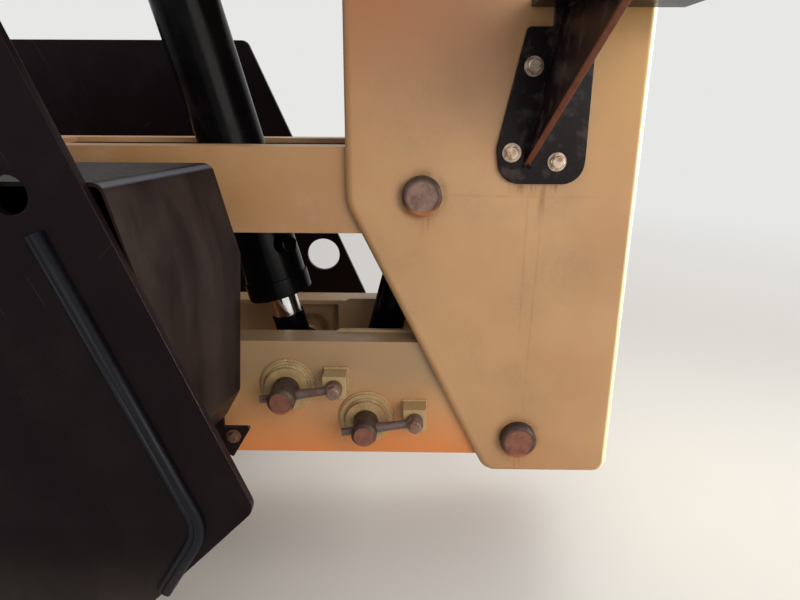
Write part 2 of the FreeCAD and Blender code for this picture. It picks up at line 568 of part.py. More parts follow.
def upright_pins():
    """Pins in the upright. The upper link turns on two stubs, so that the second cylinder fits between."""
    node(pin("lower_joint_bar", "main_pin_radius", "2 * (%s)" % PIN_END, LOWER_JOINT[0],
             "-(%s)" % PIN_END, LOWER_JOINT[1]), "upright_pin_lower")
    length = "%s - stub_inner_end" % PIN_END
    stubs = [pin("upper_joint_" + side, "main_pin_radius", length, UPPER_JOINT[0], start, UPPER_JOINT[1])
             for side, start in (("near", "-(%s)" % PIN_END), ("far", "stub_inner_end"))]
    node(fused("upper_joint_stubs", *stubs), "upright_pin_upper")
    for name, (x, z), radius in (("lift_top_pin", LIFT_TOP, "lift_pin_radius"),
                                 ("second_top_pin", SECOND_TOP, "second_pin_radius")):
        node(pin(name + "_bar", radius, "2 * (%s)" % PIN_END, x, "-(%s)" % PIN_END, z), name)


def bracket():
    """Bolted bracket on the near face: a slanted foot plate, a gusset that stands out, and its shelf."""
    foot = plate("bracket_foot", (from_pin("bracket_notch_back", "bracket_notch_rise"),
                                  from_pin("bracket_low_back", "bracket_low_rise"),
                                  from_pin("bracket_foot_back", "bracket_foot_rise"),
                                  from_pin("-bracket_foot_ahead", "bracket_foot_rise"),
                                  from_pin("-bracket_side_ahead", "bracket_side_rise"),
                                  from_pin("-bracket_side_ahead", "shelf_rise"),
                                  from_pin("-bracket_neck_ahead", "shelf_rise"),
                                  from_pin("-bracket_neck_ahead", "bracket_notch_rise")),
                 "bracket_thickness", "-(upright_half_width + bracket_thickness / 2)", (),
                 (((0,), "bracket_notch_radius"), ((1, 2, 3, 4), "bracket_radius")))
    rib = doc.addObject("PartDesign::Body", "bracket_rib")
    sketch = outline(rib, "rib_outline", (("0", "0"), ("0", "rib_height"), ("-rib_stand", "rib_height"),
                                          ("-rib_stand", "rib_height - rib_nose")), (), "YZ_Plane")
    rib.Tip = padded(rib, sketch, "rib_thickness")
    place(rib, "lower_pin_x - rib_foot_back", "-upright_half_width - bracket_thickness / 2",
          "lower_pin_z + rib_foot_rise", FreeCAD.Rotation(FreeCAD.Vector(0, 1, 0), measure("rib_lean")))
    shelf = block("bracket_shelf", "shelf_length", "shelf_depth", "shelf_thickness",
                  "lower_pin_x - shelf_back", "-upright_half_width - shelf_depth", "lower_pin_z + shelf_rise")
    node(fused("bracket_weldment", foot, rib, shelf), "bracket")


def cylinder(name, foot, top, barrel, rod, eye, start, gland, reach, bore, with_port):
    """Build one lift cylinder along its own axis, from its rod pin up to its top pin."""
    across = "(%s - (%s))" % (foot[0], top[0])
    up = "(%s - (%s))" % (top[1], foot[1])
    span = "sqrt(%s * %s + %s * %s)" % (across, across, up, up)
    lean = math.degrees(math.atan2(measure(across), measure(up)))
    turn = FreeCAD.Rotation(FreeCAD.Vector(0, -1, 0), lean)
    half = "lift_eye_width / 2"

    def along(kind, label, low, **sizes):
        return place(sized(kind, "%s_%s" % (name, label), **sizes), "0", "0", low)

    shell = along("Part::Cylinder", "shell", "%s + %s" % (start, gland), Radius=barrel,
                  Height="%s - %s - %s - %s" % (span, start, gland, eye))
    neck = block(name + "_neck", eye, "lift_eye_width", "2 * %s" % eye,
                 "-%s / 2" % eye, "-(%s)" % half, "%s - 2 * %s" % (span, eye))
    head = bar(name + "_head", eye, "lift_eye_width", "0", "-(%s)" % half, span)
    hollow = along("Part::Cylinder", "hollow", start, Radius="%s - barrel_wall" % barrel,
                   Height="%s + rod_end_gap - %s" % (reach, start))
    hole = bar(name + "_hole", bore, "2 * lift_eye_width", "0", "-lift_eye_width", span)
    solids = [shell, neck, head]
    if with_port:
        aside = FreeCAD.Rotation(FreeCAD.Vector(0, 0, 1), -measure("port_angle"))
        aside = aside * FreeCAD.Rotation(FreeCAD.Vector(0, 1, 0), 90)
        for label, radius, length in (("port", "port_radius", "port_reach"),
                                      ("port_plug", "port_plug_radius", "port_reach + port_plug_length")):
            boss = sized("Part::Cylinder", "%s_%s" % (name, label), Radius=radius, Height=length)
            solids.append(place(boss, "0", "0", "port_rise", aside))
    tube_set = cut(name + "_tube", fused(name + "_solid", *solids), hollow, hole)
    gland_ring = cut(name + "_ring",
                     along("Part::Cylinder", "ring_out", start, Radius="%s + gland_rim" % barrel, Height=gland),
                     along("Part::Cylinder", "ring_in", start, Radius="%s + rod_gap" % rod, Height=gland))
    stem = along("Part::Cylinder", "stem", "%s - gland_rim" % eye, Radius=rod,
                 Height="%s - %s + gland_rim" % (reach, eye))
    tip = along("Part::Cone", "tip", reach, Radius1=rod, Radius2="%s - gland_rim" % rod, Height="gland_rim")
    stem_set = fused(name + "_stem_set", stem, tip)
    foot_eye = bar(name + "_foot", eye, "lift_eye_width", "0", "-(%s)" % half, "0")
    collar = along("Part::Cylinder", "collar", "0", Radius="%s + gland_rim" % rod,
                   Height="(%s + %s) / 2" % (eye, start))
    eye_set = cut(name + "_eye_set", fused(name + "_eye_solid", foot_eye, collar),
                  along("Part::Cylinder", "socket", "%s - gland_rim" % eye, Radius="%s + rod_gap" % rod,
                        Height=start))
    for thing, label in ((tube_set, "barrel"), (gland_ring, "gland"), (stem_set, "rod"), (eye_set, "rod_eye")):
        place(thing, foot[0], "0", foot[1], turn)
        node(thing, "%s_%s" % (name, label))


base_plate()
side_plates()
inner_plates()
frame_ties()
guard_box()
frame_pins()
lower_link()
cylinder_pins()
upper_link()
upright()
upright_pins()
bracket()
cylinder("lift", LIFT_FOOT, LIFT_TOP, "lift_barrel_radius", "lift_rod_radius", "lift_eye_radius",
         "lift_barrel_from", "lift_gland_length", "lift_rod_reach", LIFT_BORE, True)
cylinder("second", SECOND_FOOT, SECOND_TOP, "second_barrel_radius", "second_rod_radius", "second_eye_radius",
         "second_barrel_from", "second_gland_length", "second_rod_reach", SECOND_BORE, False)

doc.recompute()
for item in doc.Objects:
    if {"Invalid", "Error"} & set(item.State):
        raise RuntimeError("%s did not build: %s" % (item.Name, item.State))
os.makedirs("parts", exist_ok=True)
for item in NODES:
    if item.Shape.isNull() or not item.Shape.isValid():
        raise RuntimeError("%s has no valid shape" % item.Label)
    item.Shape.exportStep(os.path.join("parts", item.Label + ".step"))
print("wrote", len(NODES), "parts")
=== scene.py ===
import json
import logging
import math
from dataclasses import dataclass, field
from enum import Enum

import bmesh
import bpy
from mathutils import Matrix, Vector


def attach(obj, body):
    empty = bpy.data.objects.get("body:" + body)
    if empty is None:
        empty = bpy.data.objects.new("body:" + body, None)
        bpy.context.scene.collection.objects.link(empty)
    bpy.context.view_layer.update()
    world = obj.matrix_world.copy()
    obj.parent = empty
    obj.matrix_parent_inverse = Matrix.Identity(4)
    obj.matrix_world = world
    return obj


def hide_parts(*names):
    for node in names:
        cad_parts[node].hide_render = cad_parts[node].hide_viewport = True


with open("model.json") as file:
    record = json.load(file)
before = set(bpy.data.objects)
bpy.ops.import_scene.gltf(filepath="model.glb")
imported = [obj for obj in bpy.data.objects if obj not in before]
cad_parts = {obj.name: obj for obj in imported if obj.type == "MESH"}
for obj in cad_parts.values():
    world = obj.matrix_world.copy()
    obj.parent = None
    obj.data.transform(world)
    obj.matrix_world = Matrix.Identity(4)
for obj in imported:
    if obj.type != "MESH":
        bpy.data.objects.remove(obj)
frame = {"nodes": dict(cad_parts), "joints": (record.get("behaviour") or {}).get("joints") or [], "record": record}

LOG = logging.getLogger("tower_linkage")
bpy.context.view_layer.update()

# Short names for types and for kinds of socket.
Socket = bpy.types.NodeSocket
Sockets = bpy.types.NodeOutputs
Point = tuple[float, float, float]
Colour = tuple[float, float, float]
VECTOR = "NodeSocketVector"
WHOLE = "NodeSocketInt"

# The pivots, and the two pins that the cylinders stand on.
JOINT_PLACE = {joint["name"]: Vector(joint["pos_m"]) for joint in frame["joints"] if joint.get("pos_m")}
FRAME_PIN = JOINT_PLACE["tower_lift"]
UPPER_FRAME_PIN = JOINT_PLACE["upper_link_pivot"]
LOWER_PIN = JOINT_PLACE["upright_pivot"]
UPPER_PIN = LOWER_PIN + UPPER_FRAME_PIN - FRAME_PIN
LIFT_TOP = JOINT_PLACE["lift_swing"]
SECOND_TOP = JOINT_PLACE["second_swing"]
LIFT_FOOT = LOWER_PIN + Vector((-0.368, 0.0, 0.080))
SECOND_FOOT = LOWER_PIN + Vector((-0.243, 0.0, 0.025))

# Directions, and the faces that pieces lie on, measured across the machine from its middle.
NEAR = Vector((0.0, -1.0, 0.0))
ON_THE_SIDE = (1.0, 0.0, 1.0)
BOTH_SIDES = (-1.0, 1.0)
UPRIGHT_FACE = 0.150
LINK_FACE = 0.132
GUSSET_LEAN = math.radians(11.4)
GUSSET_UP = Vector((math.sin(GUSSET_LEAN), 0.0, math.cos(GUSSET_LEAN)))
GUSSET_ASIDE = Vector((math.cos(GUSSET_LEAN), 0.0, -math.sin(GUSSET_LEAN)))


class Body(Enum):
    """The bodies that pieces ride on."""

    ROOT = "root"
    LOWER_LINK = "lower_link"
    UPPER_LINK = "upper_link"
    UPRIGHT = "upright"
    LIFT_BARREL = "lift_barrel"
    LIFT_ROD = "lift_rod"
    SECOND_BARREL = "second_barrel"
    SECOND_ROD = "second_rod"


class Slot(Enum):
    """The record's material slots."""

    CREAM_PAINT = "cream_paint"
    BLACK_PAINT = "black_paint"
    GUARD_FINISH = "guard_finish"
    CYLINDER_PAINT = "cylinder_paint"
    PIN_STEEL = "pin_steel"
    ROD_CHROME = "rod_chrome"


class Look(Enum):
    """The finishes: those of the slots, and those that single pieces have of their own."""

    CREAM_PAINT = "cream_paint"
    LOWER_LINK_PAINT = "lower_link_paint"
    UPPER_LINK_PAINT = "upper_link_paint"
    BLACK_PAINT = "black_paint"
    BRACKET_PAINT = "bracket_paint"
    GUARD_FINISH = "guard_finish"
    RIM_RUBBER = "rim_rubber"
    CYLINDER_PAINT = "cylinder_paint"
    PIN_STEEL = "pin_steel"
    ROD_CHROME = "rod_chrome"
    ZINC_BOLTS = "zinc_bolts"
    KEEPER_STEEL = "keeper_steel"
    KEEPER_HEAD_STEEL = "keeper_head_steel"
    RUSTY_HEAD_STEEL = "rusty_head_steel"


def beside(pin: Vector, behind: float, rise: float, face: float) -> Vector:
    """Find the point on a face that lies so far behind and above a pin.

    Args:
        pin: The pin.
        behind: How far behind the pin the point is, or ahead of it if negative.
        rise: How far above the pin it is.
        face: Where across the machine the face lies.

    Returns:
        The point.
    """
    return Vector((pin.x + behind, face, pin.z + rise))


def slot_of(node: str) -> Slot:
    """Find a sub-part's material slot.

    Args:
        node: The sub-part's name.

    Returns:
        Its slot.
    """
    for part in frame["record"]["subparts"]:
        if part["node"] == node:
            return Slot(part["material_slot"])
    raise KeyError(node)


@dataclass(frozen=True)
class Port:
    """An input or output of a node group."""

    name: str
    default: float | int | None = None
    kind: str = "NodeSocketFloat"


class Graph:
    """A node tree with short ways to add nodes and join them."""

    def __init__(self, tree: bpy.types.NodeTree) -> None:
        """Keep the tree that nodes are added to."""
        self.tree = tree

    @classmethod
    def fresh(cls, owner: bpy.types.Material | bpy.types.World) -> "Graph":
        """Empty the tree of a material or a world.

        Args:
            owner: The material or the world.

        Returns:
            Its tree, ready to be filled.
        """
        owner.use_nodes = True
        owner.node_tree.nodes.clear()
        return cls(owner.node_tree)

    def offer(self, side: str, ports: tuple[Port, ...]) -> None:
        """Give a group its inputs or its outputs.

        Args:
            side: INPUT or OUTPUT.
            ports: The inputs or outputs, in order.
        """
        for port in ports:
            socket = self.tree.interface.new_socket(port.name, in_out=side, socket_type=port.kind)
            if port.default is not None:
                socket.default_value = port.default

    def feed(self, socket: Socket, value: object) -> None:
        """Link a socket to an input, or set the input to a constant.

        Args:
            socket: The input that is fed.
            value: An output socket or a constant.
        """
        if isinstance(value, Socket):
            self.tree.links.new(value, socket)
        else:
            socket.default_value = value

    def add(self, kind: str, values: dict | None = None, **settings: object) -> bpy.types.Node:
        """Add a node.

        Args:
            kind: The node's type name.
            values: Inputs by name or number, each a constant or a socket.
            **settings: The node's own properties.

        Returns:
            The new node.
        """
        node = self.tree.nodes.new(kind)
        for key, value in settings.items():
            setattr(node, key, value)
        for key, value in (values or {}).items():
            self.feed(node.inputs[key], value)
        return node

    def math(self, operation: str, first: object, second: object = 0.0) -> Socket:
        """Work out a number from one or two others, by an operation such as ADD."""
        return self.add("ShaderNodeMath", {0: first, 1: second}, operation=operation).outputs[0]

    def times(self, first: object, *others: object) -> Socket:
        """Multiply numbers.

        Args:
            first: The first number.
            *others: The other numbers.

        Returns:
            Their product.
        """
        for other in others:
            first = self.math("MULTIPLY", first, other)
        return first

    def vector(self, operation: str, first: object, second: object) -> Socket:
        """Work out a vector from two others, by an operation such as SUBTRACT."""
        return self.add("ShaderNodeVectorMath", {0: first, 1: second}, operation=operation).outputs[0]

    def dot(self, first: object, second: object) -> Socket:
        """Say how far one vector reaches along another, which has a length of 1."""
        values = {0: first, 1: second}
        return self.add("ShaderNodeVectorMath", values, operation="DOT_PRODUCT").outputs["Value"]

    def length(self, vector: object) -> Socket:
        """Measure a vector."""
        return self.add("ShaderNodeVectorMath", {0: vector}, operation="LENGTH").outputs["Value"]

    def parts(self, vector: object) -> Sockets:
        """Split a vector into its X, Y and Z."""
        return self.add("ShaderNodeSeparateXYZ", {0: vector}).outputs

    def ramp(self, value: object, low: object, high: object, start: object = 0.0,
             end: object = 1.0) -> Socket:
        """Map a value smoothly from one range, low to high, to another, start to end, and hold it there."""
        values = {"Value": value, "From Min": low, "From Max": high, "To Min": start, "To Max": end}
        return self.add("ShaderNodeMapRange", values, interpolation_type="SMOOTHSTEP").outputs["Result"]

    def noise(self, vector: Socket, scale: object, detail: float = 3.0, stretch: object = None) -> Socket:
        """Add a noise pattern.

        Args:
            vector: Where the pattern is read.
            scale: How many blobs there are to a metre.
            detail: How many finer layers it has.
            stretch: Factors for the three directions, or None.

        Returns:
            The pattern's value, from 0 to 1.
        """
        if stretch is not None:
            vector = self.vector("MULTIPLY", vector, stretch)
        values = {"Vector": vector, "Scale": scale, "Detail": detail, "Roughness": 0.6}
        return self.add("ShaderNodeTexNoise", values).outputs[0]

    def blend(self, share: object, first: object, second: object) -> Socket:
        """Mix two colours.

        Args:
            share: How much of the second colour shows.
            first: The first colour.
            second: The second colour.

        Returns:
            The mixed colour.
        """
        node = self.add("ShaderNodeMix", {0: share}, data_type="RGBA")
        for number, colour in ((6, first), (7, second)):
            self.feed(node.inputs[number], colour if isinstance(colour, Socket) else (*colour, 1.0))
        return node.outputs[2]


class Effect:
    """A shader node group that several finishes share; each reads a place through its input Vector."""

    title = "effect"
    takes: tuple[Port, ...] = ()
    gives: tuple[Port, ...] = (Port("Mask"),)

    def __init__(self) -> None:
        """Build the group once."""
        self.group = bpy.data.node_groups.new(self.title, "ShaderNodeTree")
        graph = Graph(self.group)
        graph.offer("INPUT", (Port("Vector", kind=VECTOR), *self.takes))
        graph.offer("OUTPUT", self.gives)
        given = graph.add("NodeGroupInput").outputs
        graph.add("NodeGroupOutput", self.draw(graph, given))

    def draw(self, graph: Graph, given: Sockets) -> dict[str, Socket]:
        """Draw what is inside the group.

        Args:
            graph: The group's tree.
            given: Its inputs, by name.

        Returns:
            What its outputs show, by name.
        """
        raise NotImplementedError


class PaintSkin(Effect):
    """Cloudy colour, fine specks and orange peel of sprayed paint."""

    title = "paint_skin"
    takes = (Port("Cloud Scale", 5.0), Port("Speck Scale", 420.0))
    gives = (Port("Cloud"), Port("Specks"), Port("Height"))

    def draw(self, graph: Graph, given: Sockets) -> dict[str, Socket]:
        """Draw clouds, specks and peel.

        Args:
            graph: The group's tree.
            given: Its inputs, by name.

        Returns:
            What its outputs show, by name.
        """
        cloud = graph.ramp(graph.noise(given["Vector"], given["Cloud Scale"], 4.0), 0.32, 0.68)
        speck = graph.ramp(graph.noise(given["Vector"], given["Speck Scale"], 2.0), 0.66, 0.74)
        patch = graph.ramp(graph.noise(given["Vector"], 9.0, 3.0), 0.45, 0.7)
        peel = graph.noise(given["Vector"], 260.0, 2.0)
        return {"Cloud": cloud, "Specks": graph.times(speck, patch), "Height": peel}


class EdgeWear(Effect):
    """Broken wear along outer and inner edges."""

    title = "edge_wear"
    takes = (Port("Radius", 0.003), Port("Patch Scale", 30.0), Port("Amount", 0.5))

    def draw(self, graph: Graph, given: Sockets) -> dict[str, Socket]:
        """Compare the bent normal near an edge with the true one, and break the line up.

        Args:
            graph: The group's tree.
            given: Its inputs, by name.

        Returns:
            What its outputs show, by name.
        """
        bent = graph.add("ShaderNodeBevel", {"Radius": given["Radius"]}, samples=6).outputs[0]
        true = graph.add("ShaderNodeNewGeometry").outputs["Normal"]
        edge = graph.ramp(graph.dot(bent, true), 0.995, 0.9)
        patch = graph.noise(given["Vector"], given["Patch Scale"], 5.0)
        start = graph.math("SUBTRACT", 0.85, given["Amount"])
        broken = graph.ramp(patch, start, graph.math("ADD", start, 0.12))
        return {"Mask": graph.times(edge, broken)}


class Dust(Effect):
    """Dust that lies on upward faces and clings in patches elsewhere."""

    title = "dust"
    takes = (Port("Facing", kind=VECTOR), Port("Scale", 14.0), Port("Amount", 0.4))

    def draw(self, graph: Graph, given: Sockets) -> dict[str, Socket]:
        """Add what lies on top to what clings.

        Args:
            graph: The group's tree.
            given: Its inputs, by name.

        Returns:
            What its outputs show, by name.
        """
        lying = graph.ramp(graph.parts(given["Facing"])["Z"], 0.4, 0.95, 0.0, 0.7)
        fine = graph.noise(given["Vector"], 160.0, 3.0)
        broad = graph.noise(given["Vector"], given["Scale"], 5.0)
        clinging = graph.times(graph.ramp(broad, 0.42, 0.72), given["Amount"])
        both = graph.math("MAXIMUM", graph.times(lying, given["Amount"]), clinging)
        return {"Mask": graph.times(both, graph.ramp(fine, 0.3, 0.62, 0.45, 1.0))}


class RustRun(Effect):
    """A rusty run that starts at a pin or bolt and fades down a face."""

    title = "rust_run"
    takes = (Port("Start", kind=VECTOR), Port("Width", 0.01), Port("Length", 0.1))

    def draw(self, graph: Graph, given: Sockets) -> dict[str, Socket]:
        """Fade a run across its width, down its length and away from its face.

        Args:
            graph: The group's tree.
            given: Its inputs, by name.

        Returns:
            What its outputs show, by name.
        """
        offset = graph.parts(graph.vector("SUBTRACT", given["Vector"], given["Start"]))
        sway = graph.math("SUBTRACT", graph.noise(given["Vector"], 18.0, 2.0), 0.5)
        across = graph.math("ABSOLUTE", graph.math("ADD", offset["X"], graph.times(sway, 0.018)))
        side = graph.ramp(across, given["Width"], graph.times(given["Width"], 0.15))
        drop = graph.times(offset["Z"], -1.0)
        begun = graph.ramp(drop, -0.004, 0.004)
        fade = graph.ramp(drop, given["Length"], 0.0)
        face = graph.ramp(graph.math("ABSOLUTE", offset["Y"]), 0.03, 0.012)
        streaky = graph.ramp(graph.noise(given["Vector"], 60.0, 3.0, (3.0, 1.0, 0.12)), 0.35, 0.6)
        return {"Mask": graph.times(side, fade, begun, face, streaky)}


class Halo(Effect):
    """A dark ring around a pin: stain, and painted shade."""

    title = "halo"
    takes = (Port("Middle", kind=VECTOR), Port("Radius", 0.03), Port("Fade", 0.012))

    def draw(self, graph: Graph, given: Sockets) -> dict[str, Socket]:
        """Fade a ring outwards from its radius, a little broken.

        Args:
            graph: The group's tree.
            given: Its inputs, by name.

        Returns:
            What its outputs show, by name.
        """
        offset = graph.vector("SUBTRACT", given["Vector"], given["Middle"])
        reach = graph.length(graph.vector("MULTIPLY", offset, ON_THE_SIDE))
        ring = graph.ramp(graph.math("SUBTRACT", reach, given["Radius"]), given["Fade"], 0.0)
        broken = graph.ramp(graph.noise(given["Vector"], 45.0), 0.3, 0.65)
        return {"Mask": graph.times(ring, broken)}


class FaintLine(Effect):
    """A faint line that runs straight down or along a face."""

    title = "faint_line"
    takes = (Port("Start", kind=VECTOR), Port("Along", kind=VECTOR), Port("Length", 0.1),
             Port("Width", 0.0012))

    def draw(self, graph: Graph, given: Sockets) -> dict[str, Socket]:
        """Keep what is close to the line, between its ends, and break it up.

        Args:
            graph: The group's tree.
            given: Its inputs, by name.

        Returns:
            What its outputs show, by name.
        """
        offset = graph.vector("SUBTRACT", given["Vector"], given["Start"])
        run = graph.dot(offset, given["Along"])
        values = {0: given["Along"], "Scale": run}
        foot = graph.add("ShaderNodeVectorMath", values, operation="SCALE").outputs[0]
        gap = graph.length(graph.vector("SUBTRACT", offset, foot))
        near = graph.ramp(gap, given["Width"], graph.times(given["Width"], 0.3))
        begun = graph.ramp(run, 0.0, 0.012)
        ended = graph.ramp(run, given["Length"], graph.times(given["Length"], 0.55))
        broken = graph.ramp(graph.noise(given["Vector"], 34.0, 3.0), 0.38, 0.6, 0.25, 1.0)
        return {"Mask": graph.times(near, broken, begun, ended)}


class Scuffs(Effect):
    """Fine straight scratches and rubbed patches."""

    title = "scuffs"
    takes = (Port("Length Scale", 7.0), Port("Fineness", 330.0), Port("Stretch", kind=VECTOR),
             Port("Amount", 0.5))
    gives = (Port("Mask"), Port("Rub"))

    def draw(self, graph: Graph, given: Sockets) -> dict[str, Socket]:
        """Draw two leaning sets of drawn-out streaks, and rub the paint in broad patches.

        Args:
            graph: The group's tree.
            given: Its inputs, by name.

        Returns:
            What its outputs show, by name.
        """
        values = {0: given["Fineness"], 1: given["Length Scale"], 2: given["Length Scale"]}
        drawn_out = graph.add("ShaderNodeCombineXYZ", values).outputs[0]
        streaks = []
        for lean, shift in ((0.45, 0.0), (-0.8, 3.7)):
            values = {"Vector": given["Vector"], "Location": (shift, shift, 0.0),
                      "Rotation": (0.0, lean, 0.0)}
            turned = graph.add("ShaderNodeMapping", values).outputs[0]
            lines = graph.ramp(graph.noise(turned, 1.0, 1.0, drawn_out), 0.70, 0.76)
            where = graph.ramp(graph.noise(turned, 6.0, 3.0), 0.52, 0.64)
            streaks.append(graph.times(lines, where))
        scratch = graph.times(graph.math("MAXIMUM", *streaks), given["Amount"])
        rub = graph.ramp(graph.noise(given["Vector"], 5.0, 6.0, given["Stretch"]), 0.46, 0.74)
        return {"Mask": scratch, "Rub": graph.times(rub, given["Amount"])}


class Effects:
    """All shared effects, each built once."""

    def __init__(self) -> None:
        """Build every group."""
        self.paint_skin = PaintSkin()
        self.edge_wear = EdgeWear()
        self.dust = Dust()
        self.rust_run = RustRun()
        self.halo = Halo()
        self.faint_line = FaintLine()
        self.scuffs = Scuffs()


@dataclass(frozen=True)
class Surface:
    """A surface being dressed: its tree, its shader's inputs, and where it lies and faces."""

    graph: Graph
    shader: bpy.types.NodeInputs
    place: Socket
    facing: Socket
    effects: Effects

    def use(self, effect: Effect, values: dict[str, object]) -> Sockets:
        """Place a shared effect here with its values, and show its outputs."""
        values = {"Vector": self.place, **values}
        return self.graph.add("ShaderNodeGroup", values, node_tree=effect.group).outputs

    def skin(self, clouds: float, specks: float) -> Sockets:
        """Show a paint's skin, by how many clouds and specks it has to a metre."""
        return self.use(self.effects.paint_skin, {"Cloud Scale": clouds, "Speck Scale": specks})

    def dust(self, scale: float, amount: float) -> Socket:
        """Show where dust lies, by how many patches it has to a metre and how much it covers."""
        return self.use(self.effects.dust, {"Facing": self.facing, "Scale": scale, "Amount": amount})["Mask"]

    def wear(self, radius: float, amount: float) -> Socket:
        """Show where edges are worn, by how far in that reaches and how much of them it takes."""
        return self.use(self.effects.edge_wear, {"Radius": radius, "Amount": amount})["Mask"]

    def finish(self, colour: Socket, roughness: Socket, height: Socket, strength: float,
               distance: float) -> None:
        """Feed the shader.

        Args:
            colour: The surface's colour.
            roughness: Its roughness.
            height: The height of its relief, from 0 to 1.
            strength: How strongly the relief shows.
            distance: How high 1 is, in metres.
        """
        values = {"Height": height, "Strength": strength, "Distance": distance}
        relief = self.graph.add("ShaderNodeBump", values).outputs[0]
        for name, value in (("Base Color", colour), ("Roughness", roughness), ("Normal", relief)):
            self.graph.feed(self.shader[name], value)


@dataclass(frozen=True)
class RustMark:
    """A rust mark below a pin or bolt: where it starts, how wide it is and how far it runs."""

    start: Vector
    width: float
    length: float
    strength: float

    def on(self, surface: Surface) -> Socket:
        """Show where the mark is on a surface."""
        values = {"Start": tuple(self.start), "Width": self.width, "Length": self.length}
        return surface.graph.times(surface.use(surface.effects.rust_run, values)["Mask"], self.strength)


@dataclass(frozen=True)
class StainLine:
    """A faint stain line on a face: where it starts, its direction, its length and its width."""

    start: Vector
    along: Point
    length: float
    width: float = 0.0024
    strength: float = 0.16

    def on(self, surface: Surface) -> Socket:
        """Show where the line is on a surface."""
        values = {"Start": tuple(self.start), "Along": self.along, "Length": self.length, "Width": self.width}
        return surface.graph.times(surface.use(surface.effects.faint_line, values)["Mask"], self.strength)


@dataclass(frozen=True)
class PinStainAndShade:
    """A dark ring on the paint around a pin: stain, and painted shade."""

    middle: Vector
    radius: float
    strength: float = 0.45

    def on(self, surface: Surface) -> Socket:
        """Show where the ring is on a surface."""
        values = {"Middle": tuple(self.middle), "Radius": self.radius}
        return surface.graph.times(surface.use(surface.effects.halo, values)["Mask"], self.strength)


@dataclass(frozen=True)
class Tint:
    """A tint that grows with height, and along the machine and up to a level where those are given."""

    colour: Colour
    start: float
    end: float
    share: float
    also: tuple[float, float] | None = None
    until: float | None = None
    fade: float = 0.10

    def spread(self, graph: Graph, where: Sockets) -> Socket:
        """Show how much of the tint lies where.

        Args:
            graph: The material's tree.
            where: The place's X, Y and Z.

        Returns:
            The tint's share.
        """
        share = graph.times(graph.ramp(where["Z"], self.start, self.end), self.share)
        if self.also:
            share = graph.times(share, graph.ramp(where["X"], *self.also))
        if self.until:
            share = graph.times(share, graph.ramp(where["Z"], self.until + self.fade, self.until))
        return share


class Finish:
    """A surface finish that builds one material."""

    look: Look

    def build(self, effects: Effects) -> bpy.types.Material:
        """Make the material.

        Args:
            effects: The shared effects.

        Returns:
            The finished material.
        """
        material = bpy.data.materials.new(self.look.value)
        graph = Graph.fresh(material)
        shader = graph.add("ShaderNodeBsdfPrincipled")
        place = graph.add("ShaderNodeTexCoord").outputs
        graph.add("ShaderNodeOutputMaterial", {"Surface": shader.outputs[0]})
        self.dress(Surface(graph, shader.inputs, place["Object"], place["Normal"], effects))
        return material

    def dress(self, surface: Surface) -> None:
        """Feed the shader of a surface.

        Args:
            surface: The surface to be dressed.
        """
        raise NotImplementedError


@dataclass(frozen=True)
class CreamPaint(Finish):
    """Weathered cream paint with dust, chipped edges and rust below the pins."""

    look: Look = Look.CREAM_PAINT
    light: Colour = (0.505, 0.288, 0.130)
    deep: Colour = (0.435, 0.228, 0.094)
    rust: Colour = (0.17, 0.062, 0.020)
    primer: Colour = (0.24, 0.13, 0.07)
    dust_and_top_light: Colour = (0.225, 0.165, 0.096)
    # The next two: the colour and share of a painted highlight on faces that turn towards +X, such as the
    # upright's rear bend.
    pale: Colour = (0.86, 0.80, 0.50)
    bend_highlight: float = 0.0
    raised: Colour | None = None
    raised_from: float = LINK_FACE + 0.0015
    tints: tuple[Tint, ...] = ()
    stains_and_shade: tuple[RustMark | StainLine | PinStainAndShade, ...] = ()

    def dress(self, surface: Surface) -> None:
        """Layer tints, dust, a painted highlight on the bend, wear, stains with painted shade, and rust over the
        paint.

        Args:
            surface: The surface to be dressed.
        """
        graph = surface.graph
        skin, dust = surface.skin(3.2, 520.0), surface.dust(7.0, 0.42)
        colour = self.tinted(surface, graph.blend(skin["Cloud"], self.light, self.deep))
        # The dust colour; where it is pale, as on the upper link, it is partly painted light on upward faces.
        colour = graph.blend(graph.times(dust, 0.75), colour, self.dust_and_top_light)
        # Painted highlight: a paler colour on faces that turn towards +X, such as the upright's rear bend.
        ahead = graph.parts(surface.facing)["X"]
        bend = graph.times(graph.ramp(ahead, 0.12, 0.55), graph.ramp(ahead, 0.995, 0.93, 0.3, 1.0))
        colour = graph.blend(graph.times(bend, self.bend_highlight), colour, self.pale)
        colour = graph.blend(graph.times(skin["Specks"], 0.55), colour, self.primer)
        rust = graph.times(surface.wear(0.0014, 0.26), 0.75)
        # The stains include rings of painted shade around the pins, laid in the rust colour.
        for stain in self.stains_and_shade:
            rust = graph.math("MAXIMUM", rust, stain.on(surface))
        roughness = graph.ramp(graph.math("ADD", dust, rust), 0.0, 0.8, 0.38, 0.72)
        relief = graph.math("SUBTRACT", skin["Height"], graph.times(rust, 0.8))
        surface.finish(graph.blend(rust, colour, self.rust), roughness, relief, 0.25, 0.0005)

    def tinted(self, surface: Surface, colour: Socket) -> Socket:
        """Lay the tints over a colour, and another one on what stands out from the link's face.

        Args:
            surface: The surface.
            colour: The colour under the tints.

        Returns:
            The tinted colour.
        """
        graph = surface.graph
        where = graph.parts(surface.place)
        for tint in self.tints:
            colour = graph.blend(tint.spread(graph, where), colour, tint.colour)
        if self.raised:
            out = graph.math("ABSOLUTE", where["Y"])
            share = graph.times(graph.ramp(out, self.raised_from, self.raised_from + 0.0025), 0.8)
            colour = graph.blend(share, colour, self.raised)
        return colour


